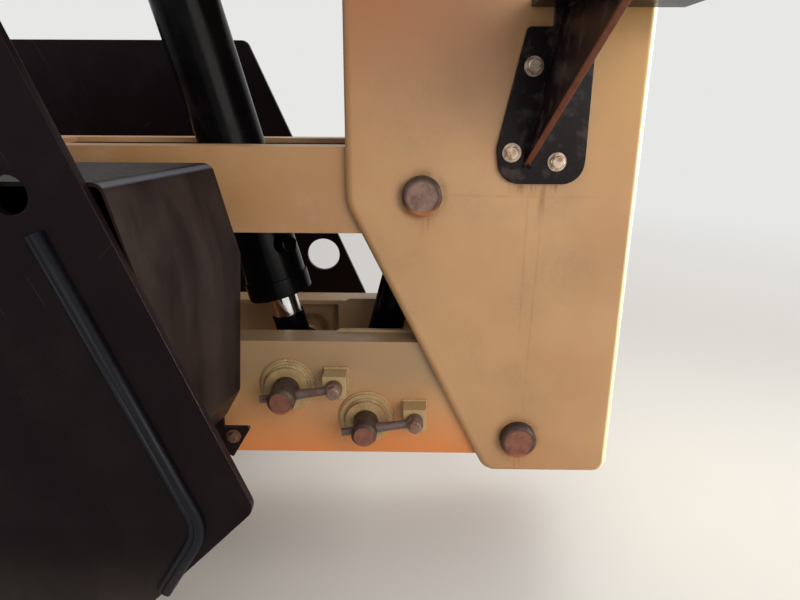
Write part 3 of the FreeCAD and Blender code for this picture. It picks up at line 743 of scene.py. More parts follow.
@dataclass(frozen=True)
class BlackPaint(Finish):
    """Scuffed black paint with a dusty film."""

    look: Look = Look.BLACK_PAINT
    base: Colour = (0.0055, 0.0022, 0.0034)
    film: Colour = (0.011, 0.0072, 0.0078)
    bare: Colour = (0.070, 0.048, 0.044)
    rust: Colour = (0.10, 0.034, 0.015)
    dirt: Colour = (0.080, 0.062, 0.047)
    lit_edge: Colour | None = None
    dust_amount: float = 0.45
    smeared: float = 0.7
    blotched: float = 0.0
    specular: float = 0.09
    roughness: tuple[float, float] = (0.32, 0.62)
    stretch: Point = (1.0, 1.0, 0.25)

    def dress(self, surface: Surface) -> None:
        """Layer a film of dust, rubbed patches, scratches and bare edges over the paint.

        Args:
            surface: The surface to be dressed.
        """
        graph, place = surface.graph, surface.place
        skin, dust = surface.skin(6.0, 480.0), surface.dust(9.0, self.dust_amount)
        scuff = surface.use(surface.effects.scuffs, {"Stretch": self.stretch, "Amount": 0.7})
        colour = graph.blend(graph.times(scuff["Rub"], self.smeared), self.base, self.film)
        colour = graph.blend(dust, colour, self.film)
        low = graph.ramp(graph.parts(place)["Z"], 0.26, 0.02)
        patches = graph.ramp(graph.noise(place, 5.0, 6.0, (1.0, 1.0, 0.6)), 0.36, 0.66, 0.15, 0.9)
        colour = graph.blend(graph.times(low, patches), colour, self.dirt)
        colour = graph.blend(graph.times(scuff["Mask"], 0.45), colour, self.bare)
        colour = graph.blend(graph.times(skin["Specks"], 0.3), colour, self.bare)
        blotch = graph.ramp(graph.noise(place, 38.0, 6.0), 0.5, 0.66)
        colour = graph.blend(graph.times(blotch, self.blotched), colour, self.bare)
        if self.lit_edge:
            up = graph.parts(surface.facing)["Z"]
            turn = graph.times(graph.ramp(up, 0.45, 0.70), graph.ramp(up, 0.97, 0.86), 0.75)
            colour = graph.blend(turn, colour, self.lit_edge)
        edge = graph.blend(skin["Cloud"], self.bare, self.rust)
        colour = graph.blend(graph.times(surface.wear(0.0018, 0.27), 0.8), colour, edge)
        colour = graph.blend(self.rusted_edge(surface), colour, self.rust)
        film = graph.math("ADD", dust, graph.times(scuff["Rub"], 0.5))
        surface.shader["Specular IOR Level"].default_value = self.specular
        surface.finish(colour, graph.ramp(film, 0.0, 0.8, *self.roughness), skin["Height"], 0.22, 0.0005)

    def rusted_edge(self, surface: Surface) -> Socket | float:
        """Show where the paint has rusted through along a whole edge, which here is nowhere."""
        return 0.0


@dataclass(frozen=True)
class BracketPaint(BlackPaint):
    """Black paint of the bracket, whose gusset is rust-brown along its free edge."""

    look: Look = Look.BRACKET_PAINT
    rust: Colour = (0.170, 0.058, 0.032)
    blotched: float = 0.55
    specular: float = 0.12
    foot: Vector = LOWER_PIN + Vector((-0.014, -0.154, 0.428))
    height: float = 0.215
    stand: float = 0.292
    nose: float = 0.014
    half_thick: float = 0.004

    def rusted_edge(self, surface: Surface) -> Socket | float:
        """Follow the slanted edge from the foot plate out to the shelf.

        Args:
            surface: The surface.

        Returns:
            How much rust shows.
        """
        graph = surface.graph
        offset = graph.vector("SUBTRACT", surface.place, tuple(self.foot))
        rise, aside = graph.dot(offset, tuple(GUSSET_UP)), graph.dot(offset, tuple(GUSSET_ASIDE))
        out = graph.times(graph.parts(offset)["Y"], -1.0)
        line = graph.times(out, (self.height - self.nose) / self.stand)
        near = graph.ramp(graph.math("ABSOLUTE", graph.math("SUBTRACT", rise, line)), 0.0035, 0.0015)
        within = graph.ramp(graph.math("ABSOLUTE", aside), self.half_thick + 0.0006, self.half_thick + 0.0002)
        begun = graph.ramp(out, 0.004, 0.008)
        broken = graph.ramp(graph.noise(surface.place, 55.0, 4.0), 0.3, 0.5, 0.72, 1.0)
        return graph.times(near, within, begun, broken)


@dataclass(frozen=True)
class CylinderPaint(Finish):
    """Gloss black paint of the cylinders, with a thin film of dust."""

    look: Look = Look.CYLINDER_PAINT
    base: Colour = (0.0022, 0.0018, 0.0022)
    film: Colour = (0.010, 0.0085, 0.008)
    specular: float = 0.065

    def dress(self, surface: Surface) -> None:
        """Layer a light film over gloss paint.

        Args:
            surface: The surface to be dressed.
        """
        graph = surface.graph
        dust = surface.dust(12.0, 0.3)
        colour = graph.blend(graph.times(dust, 0.7), self.base, self.film)
        colour = graph.blend(graph.times(surface.wear(0.0016, 0.3), 0.5), colour, self.film)
        surface.shader["Specular IOR Level"].default_value = self.specular
        roughness = graph.ramp(dust, 0.0, 0.6, 0.20, 0.5)
        surface.finish(colour, roughness, surface.skin(9.0, 600.0)["Height"], 0.12, 0.0004)


@dataclass(frozen=True)
class RustyPin(Finish):
    """Rust-brown forged pins, with rubbed grey ends."""

    look: Look = Look.PIN_STEEL
    rust: Colour = (0.185, 0.078, 0.045)
    dark: Colour = (0.070, 0.030, 0.020)
    rubbed: Colour = (0.285, 0.105, 0.066)
    greyed: Colour = (0.25, 0.16, 0.125)
    # Painted orange bounce light, on the pins' lower sides and low on the rings around their ends.
    fresh: Colour = (0.44, 0.135, 0.040)
    shaded: Colour = (0.040, 0.022, 0.017)
    heads: tuple[tuple[Vector, float], ...] = ((LOWER_PIN, 0.0285), (UPPER_PIN, 0.0285), (LIFT_FOOT, 0.021),
                                               (SECOND_FOOT, 0.0195))

    def dress(self, surface: Surface) -> None:
        """Mottle the rust, rub the ends, darken the upper sides and paint orange bounce light on the lower ones.

        Args:
            surface: The surface to be dressed.
        """
        graph, place = surface.graph, surface.place
        skin = surface.skin(60.0, 700.0)
        facing = graph.parts(surface.facing)
        end = graph.ramp(graph.math("ABSOLUTE", facing["Y"]), 0.9, 0.99)
        share = graph.times(end, graph.ramp(graph.noise(place, 90.0, 4.0), 0.35, 0.62, 0.25, 0.85))
        high = graph.ramp(graph.parts(place)["Z"], 0.35, 0.6)
        rubbed = graph.blend(high, self.rubbed, self.greyed)
        colour = graph.blend(share, graph.blend(skin["Cloud"], self.rust, self.dark), rubbed)
        values = {"Length Scale": 25.0, "Fineness": 700.0, "Stretch": (1.0, 1.0, 1.0), "Amount": 0.6}
        scuff = surface.use(surface.effects.scuffs, values)["Mask"]
        colour = graph.blend(graph.math("MAXIMUM", surface.wear(0.002, 0.5), scuff), colour, rubbed)
        colour = graph.blend(graph.times(graph.ramp(facing["Z"], 0.1, 0.7), 0.7), colour, self.shaded)
        for middle, radius in self.heads:
            colour = self.ringed(surface, colour, middle, radius)
        # Painted orange bounce light on the down-facing sides.
        colour = graph.blend(graph.times(graph.ramp(facing["Z"], -0.2, -0.6), 0.8), colour, self.fresh)
        graph.feed(surface.shader["Metallic"], graph.ramp(share, 0.2, 0.85, 0.15, 0.5))
        roughness = graph.ramp(skin["Cloud"], 0.0, 1.0, 0.46, 0.72)
        pits = graph.math("ADD", skin["Height"], graph.noise(place, 180.0, 4.0))
        surface.finish(colour, roughness, pits, 0.45, 0.0008)

    def ringed(self, surface: Surface, colour: Socket, middle: Vector, radius: float) -> Socket:
        """Lay a dark ring around a pin's end, with painted orange bounce light low on it.

        Args:
            surface: The surface.
            colour: The colour under the ring.
            middle: The pin's middle.
            radius: Its radius.

        Returns:
            The colour with the ring.
        """
        graph = surface.graph
        offset = graph.vector("SUBTRACT", surface.place, tuple(middle))
        offset = graph.vector("MULTIPLY", offset, ON_THE_SIDE)
        reach = graph.length(offset)
        rim = graph.times(graph.ramp(reach, radius * 0.68, radius * 0.82),
                          graph.ramp(reach, radius * 1.10, radius * 1.02), 0.7)
        # Painted orange bounce light on the low part of the ring.
        low = graph.ramp(graph.parts(offset)["Z"], radius * -0.5, radius * -0.85)
        return graph.blend(rim, colour, graph.blend(low, self.shaded, self.fresh))


@dataclass(frozen=True)
class PlainSteel(Finish):
    """Zinc bolts, grey keepers or chromed rods, told apart by their fields."""

    look: Look = Look.ZINC_BOLTS
    base: Colour = (0.48, 0.38, 0.29)
    stain: Colour = (0.20, 0.10, 0.055)
    stained: tuple[float, float] = (0.42, 0.7)
    metallic: float = 0.65
    roughness: tuple[float, float] = (0.38, 0.6)
    relief: float = 0.25

    def dress(self, surface: Surface) -> None:
        """Stain the metal in patches.

        Args:
            surface: The surface to be dressed.
        """
        graph, skin = surface.graph, surface.skin(40.0, 800.0)
        patch = graph.ramp(graph.noise(surface.place, 70.0, 5.0), *self.stained)
        surface.shader["Metallic"].default_value = self.metallic
        colour = graph.blend(patch, self.base, self.stain)
        roughness = graph.ramp(skin["Cloud"], 0.0, 1.0, *self.roughness)
        surface.finish(colour, roughness, skin["Height"], self.relief, 0.0004)


class Paints:
    """Every finished material, by its look."""

    own_looks: dict[str, Look] = {
        "lower_link": Look.LOWER_LINK_PAINT, "upper_link": Look.UPPER_LINK_PAINT,
        "bracket": Look.BRACKET_PAINT, "lift_keeper": Look.KEEPER_STEEL, "second_keeper": Look.KEEPER_STEEL}

    def __init__(self, effects: Effects) -> None:
        """Build the materials from the shared effects."""
        finishes = (*self.creams(), *self.blacks(), CylinderPaint(), RustyPin(), *self.steels())
        self.made = {finish.look: finish.build(effects) for finish in finishes}

    def of_node(self, node: str, slot: Slot) -> bpy.types.Material:
        """Choose a sub-part's finish: one of its own, or else that of its slot."""
        return self.made[self.own_looks.get(node, Look(slot.value))]

    def creams(self) -> tuple[Finish, ...]:
        """List the cream paints.

        Returns:
            Those of the upright, the lower link and the upper link.
        """
        upright = CreamPaint(
            bend_highlight=0.85, stains_and_shade=self.upright_stains_and_shade(),
            # Painted shade, deeper and browner, high on the upright at lower X, and painted light, golden, high on
            # it at higher X.
            tints=(Tint((0.31, 0.112, 0.038), 0.60, 0.92, 0.92, also=(0.99, 0.82), until=1.02),
                   Tint((0.55, 0.268, 0.046), 0.52, 0.86, 0.92, also=(0.98, 1.05), until=1.02)))
        link_stains = [RustMark(beside(foot, 0.0, -0.030, -LINK_FACE), 0.018, 0.03, 0.45)
                       for foot in (LIFT_FOOT, SECOND_FOOT)]
        lower_link = CreamPaint(
            Look.LOWER_LINK_PAINT, raised=(0.44, 0.325, 0.15),
            stains_and_shade=(*link_stains, PinStainAndShade(LIFT_FOOT, 0.036), PinStainAndShade(SECOND_FOOT, 0.032)),
            # A darker olive band near the link's top, and painted orange bounce light towards its bottom.
            tints=(Tint((0.28, 0.195, 0.105), 0.275, 0.350, 0.65),
                   Tint((0.76, 0.205, 0.030), 0.31, 0.155, 0.86)))
        # The upper link's paint is darker than the upright's; its pale dust colour is dust, and painted light on
        # its upward faces.
        upper_link = CreamPaint(Look.UPPER_LINK_PAINT, light=(0.44, 0.246, 0.110), deep=(0.385, 0.198, 0.080),
                                dust_and_top_light=(0.60, 0.47, 0.33))
        return upright, lower_link, upper_link

    @staticmethod
    def upright_stains_and_shade() -> tuple[RustMark | StainLine | PinStainAndShade, ...]:
        """List what has run and rubbed on the upright's near face, and the painted shade around its pins.

        Returns:
            The marks below the pins and the bracket, the lines, and the rings of stain and painted shade around
            the pins.
        """
        stains_and_shade = []
        for pin in (LOWER_PIN, UPPER_PIN):
            stains_and_shade += [RustMark(beside(pin, 0.0, -0.026, -UPRIGHT_FACE), 0.024, 0.026, 0.6),
                       RustMark(beside(pin, 0.003, -0.024, -UPRIGHT_FACE), 0.009, 0.046, 1.0),
                       PinStainAndShade(pin, 0.030)]
        for behind, rise, width, length in ((-0.014, 0.403, 0.034, 0.022), (0.022, 0.403, 0.026, 0.016),
                                            (0.012, 0.402, 0.009, 0.075)):
            stains_and_shade.append(RustMark(beside(LOWER_PIN, behind, rise, -UPRIGHT_FACE), width, length, 0.65))
        for behind, rise, along, length in ((0.014, 0.400, (-0.0245, 0.0, -0.9997), 0.40),
                                            (-0.008, 0.398, (0.0, 0.0, -1.0), 0.30),
                                            (-0.130, 0.3865, (1.0, 0.0, -0.008), 0.30)):
            stains_and_shade.append(StainLine(beside(LOWER_PIN, behind, rise, -UPRIGHT_FACE), along, length))
        return tuple(stains_and_shade)

    @staticmethod
    def blacks() -> tuple[Finish, ...]:
        """List the black finishes.

        Returns:
            Those of the frame, the bracket, the guard box and the rubber rim.
        """
        guard = BlackPaint(
            Look.GUARD_FINISH, base=(0.0050, 0.0026, 0.0030), film=(0.030, 0.020, 0.0175),
            lit_edge=(0.085, 0.092, 0.112), dust_amount=0.4, smeared=1.0, specular=0.075,
            roughness=(0.36, 0.60), stretch=(1.0, 1.0, 0.12))
        rubber = BlackPaint(Look.RIM_RUBBER, base=(0.0050, 0.0054, 0.0082), film=(0.0135, 0.014, 0.019),
                            dust_amount=0.4, specular=0.15, roughness=(0.36, 0.55))
        return BlackPaint(), BracketPaint(), guard, rubber

    @staticmethod
    def steels() -> tuple[Finish, ...]:
        """List the plain metals.

        Returns:
            Those of the rods, the bolts, the keepers and two kinds of head.
        """
        chrome = PlainSteel(Look.ROD_CHROME, base=(0.72, 0.72, 0.73), stain=(0.45, 0.42, 0.38),
                            stained=(0.62, 0.85), metallic=1.0, roughness=(0.07, 0.2), relief=0.04)
        keepers = PlainSteel(Look.KEEPER_STEEL, base=(0.150, 0.105, 0.098), stain=(0.13, 0.062, 0.040),
                             metallic=0.5, roughness=(0.42, 0.6))
        keeper_heads = PlainSteel(Look.KEEPER_HEAD_STEEL, base=(0.24, 0.15, 0.115), stain=(0.16, 0.07, 0.04),
                                  metallic=0.4, roughness=(0.42, 0.62))
        rusty_heads = PlainSteel(Look.RUSTY_HEAD_STEEL, base=(0.13, 0.062, 0.035), stain=(0.06, 0.03, 0.02),
                                 metallic=0.2, roughness=(0.5, 0.7))
        return chrome, PlainSteel(), keepers, keeper_heads, rusty_heads


class Shaped:
    """Helpers for plain meshes."""

    @staticmethod
    def linked(name: str, mesh: bpy.types.Mesh) -> bpy.types.Object:
        """Make an object of a mesh in the scene.

        Args:
            name: The object's name.
            mesh: Its mesh.

        Returns:
            The object, at the origin.
        """
        piece = bpy.data.objects.new(name, mesh)
        bpy.context.scene.collection.objects.link(piece)
        return piece

    @staticmethod
    def settled(piece: bpy.types.Object) -> bpy.types.Object:
        """Turn a piece with modifiers into a plain mesh.

        Args:
            piece: The piece with its modifiers.

        Returns:
            The same object with the result as its mesh and no modifiers.
        """
        solved = piece.evaluated_get(bpy.context.evaluated_depsgraph_get())
        mesh = bpy.data.meshes.new_from_object(solved)
        old = piece.data
        piece.modifiers.clear()
        piece.data = mesh
        bpy.data.meshes.remove(old)
        mesh.name = piece.name
        return piece


class Recipe:
    """A Geometry Nodes tree with named inputs, whose result becomes a plain mesh."""

    title = "recipe"
    takes: tuple[Port, ...] = ()

    def __init__(self) -> None:
        """Build the tree once."""
        self.tree = bpy.data.node_groups.new(self.title, "GeometryNodeTree")
        graph = Graph(self.tree)
        geometry = Port("Geometry", kind="NodeSocketGeometry")
        graph.offer("INPUT", (geometry, Port("Material", kind="NodeSocketMaterial"), *self.takes))
        graph.offer("OUTPUT", (geometry,))
        given = graph.add("NodeGroupInput").outputs
        real = graph.add("GeometryNodeRealizeInstances", {0: self.draw(graph, given)}).outputs[0]
        dressed = graph.add("GeometryNodeSetMaterial", {"Geometry": real, "Material": given["Material"]})
        graph.add("NodeGroupOutput", {0: dressed.outputs[0]})

    def draw(self, graph: Graph, given: Sockets) -> Socket:
        """Draw what is inside the tree.

        Args:
            graph: The tree.
            given: Its inputs, by name.

        Returns:
            The instances to be made real.
        """
        raise NotImplementedError

    def make(self, name: str, guide: bpy.types.Mesh, values: dict[str, object]) -> bpy.types.Object:
        """Run the recipe on a guide mesh.

        Args:
            name: The piece's name.
            guide: Points or lines that the recipe follows.
            values: The recipe's inputs, by name.

        Returns:
            The piece as a plain mesh.
        """
        piece = Shaped.linked(name, guide)
        modifier = piece.modifiers.new(self.title, "NODES")
        modifier.node_group = self.tree
        for item in self.tree.interface.items_tree:
            if item.in_out == "INPUT" and item.name in values:
                modifier[item.identifier] = values[item.name]
        return Shaped.settled(piece)


class HexHeads(Recipe):
    """A washer and a chamfered hexagon head at each point of a guide."""

    title = "hex_heads"
    washer_sides = 32
    crown_sides = 24
    crown_top = 0.72
    crown_foot = 0.86
    crown_rise = 0.16
    takes = (Port("Facing", kind=VECTOR), Port("Head Radius", 0.0115), Port("Head Height", 0.009),
             Port("Washer Radius", 0.016), Port("Washer Height", 0.0025), Port("Seed", 3, WHOLE))

    def draw(self, graph: Graph, given: Sockets) -> Socket:
        """Stack washer, head and chamfered top, and set them on the points at random turns.

        Args:
            graph: The tree.
            given: Its inputs, by name.

        Returns:
            The instances to be made real.
        """
        washer = self.disc(graph, self.washer_sides, given["Washer Radius"], given["Washer Height"], 0.0)
        head = self.disc(graph, 6, given["Head Radius"], given["Head Height"], given["Washer Height"])
        sizes = {"Vertices": self.crown_sides,
                 "Radius Top": graph.times(given["Head Radius"], self.crown_top),
                 "Radius Bottom": graph.times(given["Head Radius"], self.crown_foot),
                 "Depth": graph.times(given["Head Height"], self.crown_rise)}
        crown = graph.add("GeometryNodeMeshCone", sizes).outputs["Mesh"]
        crown = self.lifted(graph, crown, graph.math("ADD", given["Washer Height"], given["Head Height"]))
        whole = graph.add("GeometryNodeJoinGeometry")
        for part in (washer, head, crown):
            graph.feed(whole.inputs[0], part)
        values = {0: (0.0, 0.0, 0.0), 1: (0.0, 0.0, math.tau), 8: given["Seed"]}
        spin = graph.add("FunctionNodeRandomValue", values, data_type="FLOAT_VECTOR").outputs[0]
        values = {0: given["Facing"], 1: spin}
        turned = graph.add("FunctionNodeRotateRotation", values, rotation_space="LOCAL").outputs[0]
        values = {"Points": given["Geometry"], "Instance": whole.outputs[0], "Rotation": turned}
        return graph.add("GeometryNodeInstanceOnPoints", values).outputs[0]

    def disc(self, graph: Graph, sides: int, radius: Socket, height: Socket, start: object) -> Socket:
        """Add an upright prism that stands on a level.

        Args:
            graph: The tree.
            sides: How many sides it has.
            radius: Its radius to the corners.
            height: Its height.
            start: The level it stands on.

        Returns:
            The prism.
        """
        values = {"Vertices": sides, "Radius": radius, "Depth": height}
        mesh = graph.add("GeometryNodeMeshCylinder", values).outputs["Mesh"]
        return self.lifted(graph, mesh, graph.math("ADD", start, graph.times(height, 0.5)))

    @staticmethod
    def lifted(graph: Graph, mesh: Socket, rise: Socket) -> Socket:
        """Lift a mesh by a height."""
        lift = graph.add("ShaderNodeCombineXYZ", {"Z": rise}).outputs[0]
        return graph.add("GeometryNodeTransform", {"Geometry": mesh, "Translation": lift}).outputs[0]


class WeldBeads(Recipe):
    """Overlapping beads of weld along every line of a guide."""

    title = "weld_beads"
    takes = (Port("Bead Radius", 0.0035), Port("Pitch", 0.0035), Port("Segments", 8, WHOLE),
             Port("Rings", 5, WHOLE), Port("Seed", 7, WHOLE))

    def draw(self, graph: Graph, given: Sockets) -> Socket:
        """Follow the lines with flattened balls of slightly uneven size.

        Args:
            graph: The tree.
            given: Its inputs, by name.

        Returns:
            The instances to be made real.
        """
        path = graph.add("GeometryNodeMeshToCurve", {"Mesh": given["Geometry"]}).outputs["Curve"]
        values = {"Curve": path, "Length": given["Pitch"]}
        stops = graph.add("GeometryNodeCurveToPoints", values, mode="LENGTH").outputs
        sizes = {"Segments": given["Segments"], "Rings": given["Rings"], "Radius": given["Bead Radius"]}
        ball = graph.add("GeometryNodeMeshUVSphere", sizes).outputs["Mesh"]
        ripple = graph.add("GeometryNodeTransform", {"Geometry": ball, "Scale": (1.0, 1.0, 0.72)}).outputs[0]
        smooth = graph.add("GeometryNodeSetShadeSmooth", {0: ripple}).outputs[0]
        values = {2: 0.88, 3: 1.14, 8: given["Seed"]}
        uneven = graph.add("FunctionNodeRandomValue", values, data_type="FLOAT").outputs[1]
        values = {"Points": stops["Points"], "Instance": smooth, "Rotation": stops["Rotation"],
                  "Scale": uneven}
        return graph.add("GeometryNodeInstanceOnPoints", values).outputs[0]


@dataclass
class Guide:
    """Points and lines that a recipe follows."""

    points: list[Vector] = field(default_factory=list)
    lines: list[tuple[int, int]] = field(default_factory=list)

    def line(self, *corners: Vector | Point, closed: bool = False) -> None:
        """Add a line through some corners.

        Args:
            *corners: Where it goes.
            closed: Whether it returns to its start.
        """
        first = len(self.points)
        self.points.extend(Vector(corner) for corner in corners)
        last = len(self.points) - 1
        self.lines.extend((index, index + 1) for index in range(first, last))
        if closed:
            self.lines.append((last, first))

    def ring(self, middle: Vector, radius: float, y: float, sides: int = 56) -> None:
        """Add a circle around a cross bore.

        Args:
            middle: The bore's middle, of which y isn't read.
            radius: The circle's radius.
            y: Where across the machine it lies.
            sides: How many straight pieces it has.
        """
        turns = [math.tau * step / sides for step in range(sides)]
        self.line(*[beside(middle, radius * math.cos(turn), radius * math.sin(turn), y) for turn in turns],
                  closed=True)

    def mesh(self, name: str) -> bpy.types.Mesh:
        """Make a mesh of the points and lines.

        Args:
            name: The mesh's name.

        Returns:
            The mesh.
        """
        mesh = bpy.data.meshes.new(name)
        mesh.from_pydata(self.points, self.lines, [])
        return mesh


@dataclass
class EasedSteel:
    """A steel sub-part in its own form, with eased edges and a finish."""

    node: str
    body: Body
    slot: Slot
    ease: float = 0.0012
    pin_ease: float = 0.0009
    smooth_under: float = 32.0
    flat_under: float = 0.5
    merge_under: float = 1e-5

    def build(self, paints: Paints) -> bpy.types.Object:
        """Copy the sub-part, ease its edges and dress it.

        Args:
            paints: The finished materials.

        Returns:
            The piece that stands for the sub-part.
        """
        mesh = self.merged()
        mesh.materials.clear()
        mesh.materials.append(paints.of_node(self.node, self.slot))
        piece = Shaped.linked(self.node + "_steel", mesh)
        bevel = piece.modifiers.new("eased", "BEVEL")
        bevel.width = self.pin_ease if "_pin" in self.node else self.ease
        bevel.segments = 2
        bevel.limit_method = "ANGLE"
        bevel.angle_limit = math.radians(self.smooth_under)
        bevel.miter_outer = "MITER_ARC"
        weighted = piece.modifiers.new("even", "WEIGHTED_NORMAL")
        weighted.keep_sharp = True
        Shaped.settled(piece)
        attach(piece, self.body.value)
        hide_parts(self.node)
        return piece

    def merged(self) -> bpy.types.Mesh:
        """Copy the sub-part's mesh as joined faces.

        Returns:
            The joined mesh.
        """
        mesh = frame["nodes"][self.node].data.copy()
        mesh.name = self.node + "_steel"
        custom = mesh.attributes.get("custom_normal")
        if custom:
            mesh.attributes.remove(custom)
        work = bmesh.new()
        work.from_mesh(mesh)
        bmesh.ops.remove_doubles(work, verts=work.verts, dist=self.merge_under)
        bmesh.ops.dissolve_limit(work, angle_limit=math.radians(self.flat_under), verts=work.verts,
                                 edges=work.edges)
        for face in work.faces:
            face.smooth = True
        work.to_mesh(mesh)
        work.free()
        return mesh


@dataclass(frozen=True)
class PhotoCamera:
    """The camera that stands where the photograph was taken."""

    place: Point = (0.77203, -1.04751, 0.74251)
    turned_left: float = 0.719
    looking_down: float = 17.485
    rolled: float = 0.288
    lens: float = 28.23

    def build(self) -> None:
        """Make the camera and use it."""
        left, down, roll = map(math.radians, (self.turned_left, self.looking_down, self.rolled))
        ahead = Vector((-math.sin(left) * math.cos(down), math.cos(left) * math.cos(down), -math.sin(down)))
        level = Vector((math.cos(left), math.sin(left), 0.0))
        up = level.cross(ahead)
        right = math.cos(roll) * level + math.sin(roll) * up
        top = -math.sin(roll) * level + math.cos(roll) * up
        data = bpy.data.cameras.new("photo_camera")
        data.lens = self.lens
        camera = bpy.data.objects.new("photo_camera", data)
        turn = Matrix((right, top, -ahead)).transposed().to_4x4()
        camera.matrix_world = Matrix.Translation(self.place) @ turn
        bpy.context.scene.collection.objects.link(camera)
        bpy.context.scene.camera = camera


@dataclass(frozen=True)
class Lamp:
    """A soft square lamp, with its side in metres, its power in watts and its fan in degrees."""

    name: str
    place: Point
    aim: Point
    size: float
    power: float
    tint: Colour
    fan: float = 180.0

    def hang(self) -> None:
        """Hang the lamp in the scene."""
        data = bpy.data.lights.new(self.name, "AREA")
        data.spread = math.radians(self.fan)
        data.size = self.size
        data.energy = self.power
        data.color = self.tint
        lamp = bpy.data.objects.new(self.name, data)
        lamp.location = self.place
        lamp.rotation_euler = (Vector(self.aim) - Vector(self.place)).to_track_quat("-Z", "Y").to_euler()
        bpy.context.scene.collection.objects.link(lamp)


@dataclass(frozen=True)
class Studio:
    """Pale floor, pale surroundings and soft lamps."""

    floor_level: float = -0.003
    floor_reach: float = 30.0
    pale: Colour = (0.66, 0.65, 0.63)
    backdrop: Colour = (0.80, 0.80, 0.79)
    sky: Colour = (0.95, 0.96, 1.0)
    sky_strength: float = 0.55
    shadow_reach: tuple[float, float] = (2.2, 4.5)
    lamps: tuple[Lamp, ...] = (
        Lamp("high_lamp", (2.6, 2.4, 3.6), (0.4, 0.0, 0.5), 2.6, 95.0, (1.0, 0.96, 0.88)),
        Lamp("front_lamp", (2.7, -3.3, 1.5), (0.6, 0.0, 0.6), 2.4, 80.0, (1.0, 0.95, 0.88)),
        Lamp("left_lamp", (-3.2, -2.2, 2.2), (-0.3, 0.0, 0.5), 2.4, 26.0, (0.95, 0.97, 1.0)),
        Lamp("side_lamp", (3.4, 0.15, 0.85), (1.0, 0.0, 0.80), 0.7, 13.0, (1.0, 0.98, 0.88), fan=64.0))

    def build(self) -> None:
        """Lay the floor, light the surroundings and hang the lamps."""
        self.floor()
        self.surroundings()
        for lamp in self.lamps:
            lamp.hang()

    def floor(self) -> None:
        """Lay a pale floor whose own brightness shows to the camera and in reflections."""
        mesh = bpy.data.meshes.new("floor")
        reach = self.floor_reach
        corners = [(-reach, -reach), (reach, -reach), (reach, reach), (-reach, reach)]
        mesh.from_pydata([(x, y, self.floor_level) for x, y in corners], [], [(0, 1, 2, 3)])
        material = bpy.data.materials.new("floor")
        graph = Graph.fresh(material)
        matt = graph.add("ShaderNodeBsdfDiffuse", {"Color": (*self.pale, 1.0)}).outputs[0]
        even = graph.add("ShaderNodeEmission", {"Color": (*self.backdrop, 1.0)}).outputs[0]
        distance = graph.length(graph.add("ShaderNodeTexCoord").outputs["Object"])
        away = graph.times(graph.ramp(distance, *self.shadow_reach), self.shown(graph))
        mixed = graph.add("ShaderNodeMixShader", {0: away, 1: matt, 2: even}).outputs[0]
        graph.add("ShaderNodeOutputMaterial", {"Surface": mixed})
        mesh.materials.append(material)
        Shaped.linked("floor", mesh)

    @staticmethod
    def shown(graph: Graph) -> Socket:
        """Find the rays by which the camera sees a thing, straight or in a reflection.

        Args:
            graph: The tree.

        Returns:
            1 for such rays, and 0 for those that only carry light.
        """
        path = graph.add("ShaderNodeLightPath").outputs
        mirrored = graph.math("MAXIMUM", path["Is Glossy Ray"], path["Is Transmission Ray"])
        return graph.math("MAXIMUM", path["Is Camera Ray"], mirrored)

    def surroundings(self) -> None:
        """Light the scene softly from all sides, and show the camera a pale backdrop."""
        world = bpy.data.worlds.new("surroundings")
        bpy.context.scene.world = world
        graph = Graph.fresh(world)
        values = {"Color": (*self.sky, 1.0), "Strength": self.sky_strength}
        lit = graph.add("ShaderNodeBackground", values).outputs[0]
        even = graph.add("ShaderNodeBackground", {"Color": (*self.backdrop, 1.0)}).outputs[0]
        back = graph.add("ShaderNodeMixShader", {0: self.shown(graph), 1: lit, 2: even})
        graph.add("ShaderNodeOutputWorld", {"Surface": back.outputs[0]})


@dataclass(frozen=True)
class HeadSize:
    """The sizes of a hexagon head and its washer."""

    radius: float
    height: float
    washer_radius: float
    washer_height: float

    def values(self) -> dict[str, float]:
        """Name the sizes as the recipe's inputs are named."""
        return {"Head Radius": self.radius, "Head Height": self.height, "Washer Radius": self.washer_radius,
                "Washer Height": self.washer_height}


